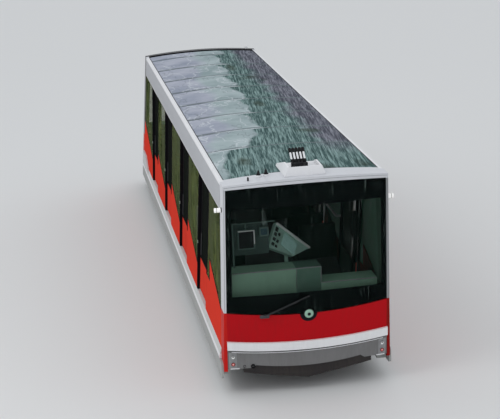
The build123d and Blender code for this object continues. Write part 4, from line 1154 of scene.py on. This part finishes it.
def windowCorners(i):
    # corners of window zone i as (u, z), the same as in the part's source
    door = car["firstDoor"] + i * car["doorPitch"]

    def startU(z):
        if i == 0:
            return pillarU(z)
        return door - car["doorPitch"] + car["doorWidth"] + car["farPost"] + (car["roofEdge"] - z) * lean

    def stopU(z):
        if i == 4:
            return tailU(z)
        return door - car["nearPost"] + (car["roofEdge"] - z) * lean

    top = [(stopU(car["railBottom"]), car["railBottom"]), (startU(car["railBottom"]), car["railBottom"])]
    if i == 0:
        low = startU(zone["firstLow"])
        (peakU, peakZ), (dipU, dipZ) = zone["firstPeak"], zone["firstDip"]
        return [(low, zone["firstLow"]), (low + peakU, peakZ), (low + dipU, dipZ), (stopU(dipZ), dipZ)] + top
    low = startU(zone["low"])
    if i == 4:
        high = zone["low"] + zone["rise"] * (tailU(zone["lastHigh"]) - low)
    else:
        # where the sloping sill meets the slanting post
        post = stopU(car["roofEdge"]) + car["roofEdge"] * lean
        high = (zone["rise"] * (post - low) + zone["low"]) / (1 + zone["rise"] * lean)
    return [(low, zone["low"]), (stopU(high), high)] + top


for label, side in sides.items():
    frames = []
    for i in range(5):
        corners = [wallPoint(side, u, z, rubbers["sideOut"]) for u, z in windowCorners(i)]
        frames.append(makeTube("frame", corners, rubbers["side"], True))
    finishJoined(frames, f"windowRubbers_{label}", rubber, "black_plastic", 60)
    for number in range(1, 5):
        body = f"{label}_door_{number}"
        start = car["firstDoor"] + (number - 1) * car["doorPitch"]
        near = start + leaf["inset"]
        far = start + car["doorWidth"] - leaf["play"] - leaf["inset"]
        low, high = leaf["pane"]
        loop = [(near, low), (far, low), (far, high), (near, high)]
        around = [sidePoint(side, u, z, rubbers["doorOut"]) for u, z in loop]
        ring = makeTube("ring", around, rubbers["door"], True)
        line = [sidePoint(side, near + leaf["edge"], z, leaf["edgeOut"]) for z in leaf["edgeEnds"]]
        edge = makeStrip("edge", line, 0.012, 0.020, (0, 1, 0))
        finishJoined([ring, edge], f"doorRubbers_{label}_{number}", rubber, "black_plastic", 60, body)
        pull = makeBlock(f"doorPull_{label}_{number}", leaf["pullSize"], 0.0012)
        sinkTop(pull, 0.007, 0.0025)
        place = sidePoint(side, near + leaf["pull"], leaf["pullZ"], leaf["pullOut"])
        pull = standOn(pull, place, wallNormal(side), side * car["slope"])
        finishPiece(pull, greyPlastic, "black_plastic", 60, body)
print("window and door rubbers are in")

# door buttons: a bright ring and a green cap on each far post
button = {"z": 1.55, "radius": 0.026, "cap": 0.017}
capGreen = coated("capGreen", (0.05, 0.32, 0.10), (0.03, 0.15, 0.06), 0.3, (0.25, 0.4))
for label, side in sides.items():
    normal = wallNormal(side)
    rings = []
    caps = []
    for number in range(4):
        u = car["firstDoor"] + number * car["doorPitch"] + car["doorWidth"] + car["farPost"] / 2
        place = sidePoint(side, u, button["z"])
        rings.append(standOn(makeCup("ring", button["radius"], 0.008, 0.006, 0.004, 28), place, normal))
        caps.append(standOn(makeDome("cap", button["cap"], 0.007, 6), place + normal * 0.003, normal))
    finishJoined(rings, f"buttonRings_{label}", riserMetal, "silver_paint")
    finishJoined(caps, f"buttonCaps_{label}", capGreen, "lamp_white")
print("door buttons are in")

# header trims: fine joints across both headers and down the pillars
trim = {"z": 3.172, "rise": 0.052, "half": 1.14, "radius": 0.0022, "down": (3.15, 1.33), "downInset": 0.014}
jointGrey = coated("jointGrey", (0.20, 0.205, 0.21), (0.1, 0.1, 0.1), 0.5, (0.5, 0.7))
for end in ends:
    across = [
        endPoint(end, trim["half"] * share, trim["z"] + trim["rise"] * (1 - share**2), 0.0003)
        for share in stepsAcross(1.0)
    ]
    lines = [makeTube("across", across, trim["radius"])]
    for side in (-1, 1):
        down = [endPoint(end, side * (halfWidth(z) - trim["downInset"]), z, 0.0003) for z in trim["down"]]
        lines.append(makeTube("down", down, 0.0018))
    finishJoined(lines, f"headerJoints_{end}", jointGrey, "grey_paint", 60)

# a dark tube under each bumper strip standing for the shadow in the gap, and a light strip along the fascia's
# top as a painted highlight
stripFoot = {"z": 0.742, "dip": 0.06, "half": 1.16}
shadowGap = {"half": 1.14, "down": 0.016, "out": 0.002, "radius": 0.009}
edgeHighlight = {"half": 1.10, "down": 0.041, "out": -0.004, "radius": 0.007}


def underStrip(end, look):
    points = []
    for x in stepsAcross(look["half"]):
        z = stripFoot["z"] - stripFoot["dip"] * (1 - (x / stripFoot["half"]) ** 2)
        points.append(endPoint(end, x, z - look["down"], look["out"]))
    return points


for end in ends:
    dark = makeTube(f"bumperShadowGap_{end}", underStrip(end, shadowGap), shadowGap["radius"])
    finishPiece(dark, rubber, "black_plastic", 60)
    light = makeTube(f"fasciaHighlight_{end}", underStrip(end, edgeHighlight), edgeHighlight["radius"])
    finishPiece(light, silverPaint, "silver_paint", 60)

# small fittings on the roof: a sensor, a marker and the collector's heads
roofBits = {"sensor": (-0.785, -6.72, 3.222), "marker": (0.985, 4.735, 3.205)}
collector = {
    "start": (-0.02, car["uphillY"] + 0.34, 3.325),
    "tilt": math.radians(40),
    "pitch": 0.046,
    "head": (0.041, 0.032, 0.075),
    "headAt": 0.266,
    "sleeve": (0.034, 0.034, 0.03),
    "sleeveAt": 0.085,
    "back": (0.20, 0.004, 0.20),
    "backAt": 0.15,
    "backDrop": 0.009,
}
sensor = standOn(makeCup("sensor", 0.013, 0.05, 0.004, -0.012, 16), roofBits["sensor"], (0, 0, 1))
finishPiece(sensor, blackPlastic, "black_plastic")
marker = standOn(makeCup("rearMarker", 0.03, 0.055, 0.008, -0.01, 24), roofBits["marker"], (0, 0, 1))
finishPiece(marker, silverPaint, "silver_paint")
run = Vector((0, math.cos(collector["tilt"]), math.sin(collector["tilt"])))
overRun = Vector((0, -math.sin(collector["tilt"]), math.cos(collector["tilt"])))
heads = []
for i in range(-2, 3):
    start = Vector(collector["start"]) + Vector((i * collector["pitch"], 0, 0))
    heads.append(standOn(makeBlock("head", collector["head"], 0.006), start + run * collector["headAt"], run))
    sleeve = makeBlock("sleeve", collector["sleeve"], 0.005)
    heads.append(standOn(sleeve, start + run * collector["sleeveAt"], run))
place = Vector(collector["start"]) + run * collector["backAt"] - overRun * collector["backDrop"]
heads.append(standOn(makeBlock("back", collector["back"], 0.0015, 1), place, run))
finishJoined(heads, "collectorHeads", blackPlastic, "black_plastic")
print("roof fittings are in")

# corner lamps: two rings round the body and a domed lens at the tip
corner = {
    "u": 0.18,
    "z": 2.83,
    "radius": 0.032,
    "rim": 0.0345,
    "rimAt": -0.001,
    "ring": 0.0335,
    "ringAt": 0.066,
    "tip": 0.0325,
    "tipAt": 0.088,
}


def lampSpot(side, out):
    wall = halfWidth(corner["z"] - corner["radius"])
    return (side * (wall + out), car["uphillY"] + corner["u"], corner["z"])


rings = []
tips = []
for side in (-1, 1):
    rim = makeCup("rim", corner["rim"], 0.014, 0.008, 0.004)
    rings.append(standOn(rim, lampSpot(side, corner["rimAt"]), (side, 0, 0)))
    ring = makeCup("ring", corner["ring"], 0.006, 0.006, 0.002)
    rings.append(standOn(ring, lampSpot(side, corner["ringAt"]), (side, 0, 0)))
    tip = makeDome("tip", corner["tip"], 0.010)
    tips.append(standOn(tip, lampSpot(side, corner["tipAt"]), (side, 0, 0)))
finishJoined(rings, "cornerLampRims", blackPlastic, "black_plastic")
finishJoined(tips, "cornerLampTips", cornerWhite, "white_plastic")
print("corner lamps are in")

# cab screens: a bar on two posts over the desk, with a framed monitor and a small display
cab = {
    "y": -6.2,
    "left": -0.965,
    "right": -0.36,
    "barZ": 2.49,
    "deskZ": 1.85,
    "screens": {"monitor": (-0.78, 2.262, 0.245, 0.285), "display": (-0.523, 2.36, 0.135, 0.135)},
    "trim": [(-0.895, 2.392), (-0.667, 2.392), (-0.667, 2.20)],
    "boardRight": -0.45,
    "boardFoot": 2.02,
}
desk = {"depth": 0.36, "gap": {"uphill": 0.13, "downhill": 0.19}}
screenBlue, blueTree, blueShader = newMaterial("screenBlue", Roughness=0.2, Emission_Strength=0.25)
blueNoise = noise(blueTree, objectSpace(blueTree), 30.0)
blueTint = blend(blueTree, blueNoise, (0.16, 0.31, 0.28), (0.30, 0.48, 0.44))
link(blueTree, blueTint, blueShader.inputs["Base Color"])
link(blueTree, blueTint, blueShader.inputs["Emission Color"])
barPlastic = coated("barPlastic", (0.11, 0.17, 0.15), (0.10, 0.14, 0.12), 0.4, (0.6, 0.8), specular=0.1)
displayBlue = coated("displayBlue", (0.04, 0.085, 0.10), (0.03, 0.06, 0.07), 0.3, (0.2, 0.4), specular=0.2)
boardPlastic = coated(
    "boardPlastic", (0.055, 0.085, 0.075), (0.03, 0.05, 0.045), 0.4, (0.6, 0.8), specular=0.1
)
screenFinish = {"monitor": (blackPaint, "black_plastic"), "display": (displayBlue, "screen_glass")}


def deskY(end, z, back):
    # the place along the car that lies this far behind an end's desk front
    side, cornerY, rake = ends[end]
    return cornerY - side * (desk["gap"][end] + back) + (car["roofEdge"] - z) * rake


def cabPoint(end, x, y, z):
    # a place in the uphill cab, or the same one turned half round into the downhill cab
    if end == "uphill":
        return Vector((x, y, z))
    return Vector((-x, deskY("downhill", z, desk["depth"]) - (y - deskY("uphill", z, desk["depth"])), z))


for end, (side, _, _) in ends.items():
    facing = (0, side, 0.0)
    post = [(cab["left"], cab["deskZ"] - 0.02), (cab["left"], cab["barZ"]), (cab["right"], cab["barZ"])]
    bar = makeTube(f"screenBar_{end}", [cabPoint(end, x, cab["y"], z) for x, z in post], 0.012)
    finishPiece(bar, barPlastic, "desk_plastic", 60)
    cases = []
    for label, (x, z, wide, high) in cab["screens"].items():
        place = cabPoint(end, x, cab["y"] - 0.03, z)
        case = makeBlock("case", (wide, high, 0.05), 0.008)
        sinkTop(case, 0.016, 0.006)
        cases.append(standOn(case, place, facing))
        hanger = [cabPoint(end, x, cab["y"], level) for level in (z, cab["barZ"])]
        cases.append(makeTube("hanger", hanger, 0.012))
        glass = makeBlock(f"{label}Glass_{end}", (wide - 0.04, high - 0.04, 0.004), 0.001, 1)
        glass = standOn(glass, place + Vector((0, side * 0.021, 0)), facing)
        finishPiece(glass, *screenFinish[label])
    finishJoined(cases, f"screenCases_{end}", barPlastic, "desk_plastic")
    outline = [cabPoint(end, x, cab["y"] - 0.058, z) for x, z in cab["trim"]]
    finishPiece(makeTube(f"monitorTrim_{end}", outline, 0.008), whiteTube, "white_plastic", 60)
    size = (cab["boardRight"] - cab["left"], 0.012, cab["barZ"] - cab["boardFoot"])
    board = makeBlock(f"screenBoard_{end}", size, 0.004)
    level = (cab["barZ"] + cab["boardFoot"]) / 2
    middle = cabPoint(end, (cab["left"] + cab["boardRight"]) / 2, cab["y"] + 0.02, level)
    finishPiece(setAt(board, Matrix.Translation(middle)), boardPlastic, "desk_plastic")
print("cab screens are in")

# instrument panel: a raised screen, two columns of keys and a white back edge
panel = {
    "turn": math.radians(40),
    "tilt": math.radians(25),
    "roll": math.radians(47),
    "z": 2.013,
    "x": 0.12,
    "reach": 0.36,
    "screen": (0.27, 0.21, 0.014),
    "screenAt": (0.035, 0.012, 0.006),
    "screenTurn": math.radians(-4),
    "lip": (0.69, 0.026, 0.036),
    "lipAt": (0.060, 0.176, 0.014),
    "firstKey": (-0.245, -0.16, 0.007),
    "keyPitch": (0.065, 0.086),
    # column, row, width and height of each key
    "keys": [
        (0, 0, 0.05, 0.05),
        (0, 1, 0.05, 0.05),
        (0, 2, 0.05, 0.06),
        (0, 3, 0.055, 0.075),
        (1, 0, 0.04, 0.04),
        (1, 1, 0.04, 0.05),
        (1, 2.4, 0.04, 0.05),
    ],
}
lipWhite = coated("lipWhite", (0.93, 0.96, 0.95), (0.8, 0.84, 0.82), 0.2, (0.4, 0.6), specular=0.2)
buttonBlack = coated("buttonBlack", (0.012, 0.012, 0.013), (0.05, 0.05, 0.05), 0.3, (0.35, 0.5))


def panelFrame(end):
    # the panel's own axes: across it, up along it and out of its face
    side = ends[end][0]
    y = deskY(end, cab["deskZ"], desk["depth"]) - side * panel["reach"]
    turn, tilt, roll = panel["turn"], panel["tilt"], panel["roll"]
    normal = Vector((math.cos(tilt) * math.sin(turn), -math.cos(tilt) * math.cos(turn), math.sin(tilt)))
    level = Vector((math.cos(turn), math.sin(turn), 0))
    across = level * math.cos(roll) - normal.cross(level) * math.sin(roll)
    if side > 0:
        normal = Vector((-normal.x, -normal.y, normal.z))
        across = Vector((-across.x, -across.y, across.z))
    axes = Matrix((across, normal.cross(across), normal)).transposed().to_4x4()
    return Matrix.Translation((side * panel["x"], y, panel["z"])) @ axes


for end in ends:
    base = panelFrame(end)
    turned = Matrix.Translation(panel["screenAt"]) @ Matrix.Rotation(panel["screenTurn"], 4, "Z")
    screen = setAt(makeBlock(f"consoleScreen_{end}", panel["screen"], 0.004), base @ turned)
    finishPiece(screen, screenBlue, "screen_glass")
    keys = []
    for column, row, wide, high in panel["keys"]:
        steps = Vector((column * panel["keyPitch"][0], row * panel["keyPitch"][1], 0))
        key = makeBlock("key", (wide, high, 0.016), 0.005, 2, 0.85)
        keys.append(setAt(key, base @ Matrix.Translation(Vector(panel["firstKey"]) + steps)))
    finishJoined(keys, f"consoleKeys_{end}", buttonBlack, "black_plastic")
    lip = makeBlock(f"consoleLip_{end}", panel["lip"], 0.006)
    finishPiece(setAt(lip, base @ Matrix.Translation(panel["lipAt"])), lipWhite, "white_plastic")
print("instrument panels are in")

# desk edging: x from and to, z from and to, how far behind the desk front, and the radius
edging = {
    "high": ((1.035, -0.225), (1.85, 1.85), 0.004, 0.008),
    "low": ((-0.24, -1.035), (1.60, 1.60), 0.004, 0.008),
    "fall": ((-0.228, -0.228), (1.60, 1.85), 0.0, 0.006),
    "joint": ((0.126, 0.126), (1.56, 1.85), -0.002, 0.004),
}
for end, (side, _, _) in ends.items():
    lines = []
    for name, (xs, levels, back, radius) in edging.items():
        points = [Vector((side * x, deskY(end, z, back), z + 0.001)) for x, z in zip(xs, levels)]
        lines.append(makeTube(name, points, radius))
    finishJoined(lines, f"deskEdges_{end}", jointGrey, "desk_plastic", 60)

# a ticket reader beside the first window on each side
reader = {"x": 1.035, "u": 1.20, "z": 2.01, "size": (0.07, 0.20, 0.44), "stand": 0.02, "foot": 0.055}
upright = Vector((0, -math.sin(car["slope"]), math.cos(car["slope"])))
readers = []
for side in (-1, 1):
    y = car["uphillY"] + reader["u"] + (car["roofEdge"] - reader["z"]) * lean
    middle = Vector((side * reader["x"], y, reader["z"]))
    turned = Matrix.Translation(middle) @ Matrix.Rotation(car["slope"], 4, "X")
    readers.append(setAt(makeBlock("case", reader["size"], 0.02, 3), turned))
    # the stand reaches down to the tread below the reader
    _, landing, _, _ = nodes["floor_treads"].ray_cast(middle, -upright)
    foot = landing + upright * 0.001
    readers.append(makeTube("stand", [middle, foot], reader["stand"], sections=16))
    readers.append(standOn(makeCup("foot", reader["foot"], 0.012, 0.012, -0.004), foot, upright))
finishJoined(readers, "ticketReaders", blackPlastic, "black_plastic")
print("cab and vestibule fittings are in")

# running gear: bolted covers on the axle boxes
gear = {
    "uphill": 2.95,
    "downhill": 10.95,
    "halfBase": 0.65,
    "axleZ": 0.298,
    "boxX": 0.857,
    "cover": 0.085,
    "bolt": 0.009,
    "bolts": 6,
    "boltCircle": 0.073,
    "boltOut": 0.017,
}
for end in ends:
    covers = []
    for shift in (-gear["halfBase"], gear["halfBase"]):
        for side in (-1, 1):
            middle = Vector((side * gear["boxX"], car["uphillY"] + gear[end] + shift, gear["axleZ"]))
            covers.append(standOn(makeCup("cover", gear["cover"], 0.018, 0.02, -0.008), middle, (side, 0, 0)))
            for k in range(gear["bolts"]):
                angle = math.tau * (k + 0.5) / gear["bolts"]
                around = Vector((0, math.cos(angle), math.sin(angle))) * gear["boltCircle"]
                spot = middle + Vector((side * gear["boltOut"], 0, 0)) + around
                bolt = makeCup("bolt", gear["bolt"], 0.008, 0.003, -0.002, 6, 0.0008)
                covers.append(standOn(bolt, spot, (side, 0, 0)))
    finishJoined(covers, f"axleCovers_{end}", chassisSteel, "dark_steel", body=f"{end}_bogie")
print("running gear fittings are in")

# towing eye and drain on the uphill fascia, and their twins downhill
towing = {"z": 0.462, "eyeX": -0.80, "eye": 0.032, "drainX": -0.923, "drain": 0.020, "drainFacing": -0.92}
for end in ends:
    eye = makeCup("eye", towing["eye"], 0.04, 0.014, 0.03, 20)
    eye = standOn(eye, endPoint(end, towing["eyeX"], towing["z"], -0.02), endNormal(end, towing["eyeX"]))
    drain = makeCup("drain", towing["drain"], 0.012, 0.004, 0.008, 20)
    facing = endNormal(end, towing["drainFacing"])
    drain = standOn(drain, endPoint(end, towing["drainX"], towing["z"], -0.012), facing)
    finishJoined([eye, drain], f"towingEye_{end}", blackPlastic, "dark_steel")
print("towing eyes are in")

# floor, light and sky
stage = {
    "floor": (0.80, 0.80, 0.79),
    "sky": (0.93, 0.96, 1.0, 1),
    "skyStrength": 0.78,
    "lightPlace": (-13, -12, 17),
    "lightAim": (0, -1, 1.5),
    "lightPower": 650,
    "lightSize": 9,
}
deselectAll()
bpy.ops.mesh.primitive_plane_add(size=400, location=(0, 40, 0))
floor = named("floor")
floorMaterial, _, _ = newMaterial("paleFloor", Roughness=0.9, Base_Color=stage["floor"])
floor.data.materials.append(floorMaterial)

world = bpy.data.worlds.new("softSky")
bpy.context.scene.world = world
world.use_nodes = True
background = world.node_tree.nodes["Background"]
background.inputs["Color"].default_value = stage["sky"]
background.inputs["Strength"].default_value = stage["skyStrength"]

bpy.ops.object.light_add(type="AREA", location=stage["lightPlace"])
soft = bpy.context.object
soft.name = "softLeft"
soft.data.energy = stage["lightPower"]
soft.data.size = stage["lightSize"]
soft.rotation_euler = (Vector(stage["lightAim"]) - soft.location).to_track_quat("-Z", "Y").to_euler()

bpy.context.scene.view_settings.view_transform = "Standard"
print("stage and light are ready")
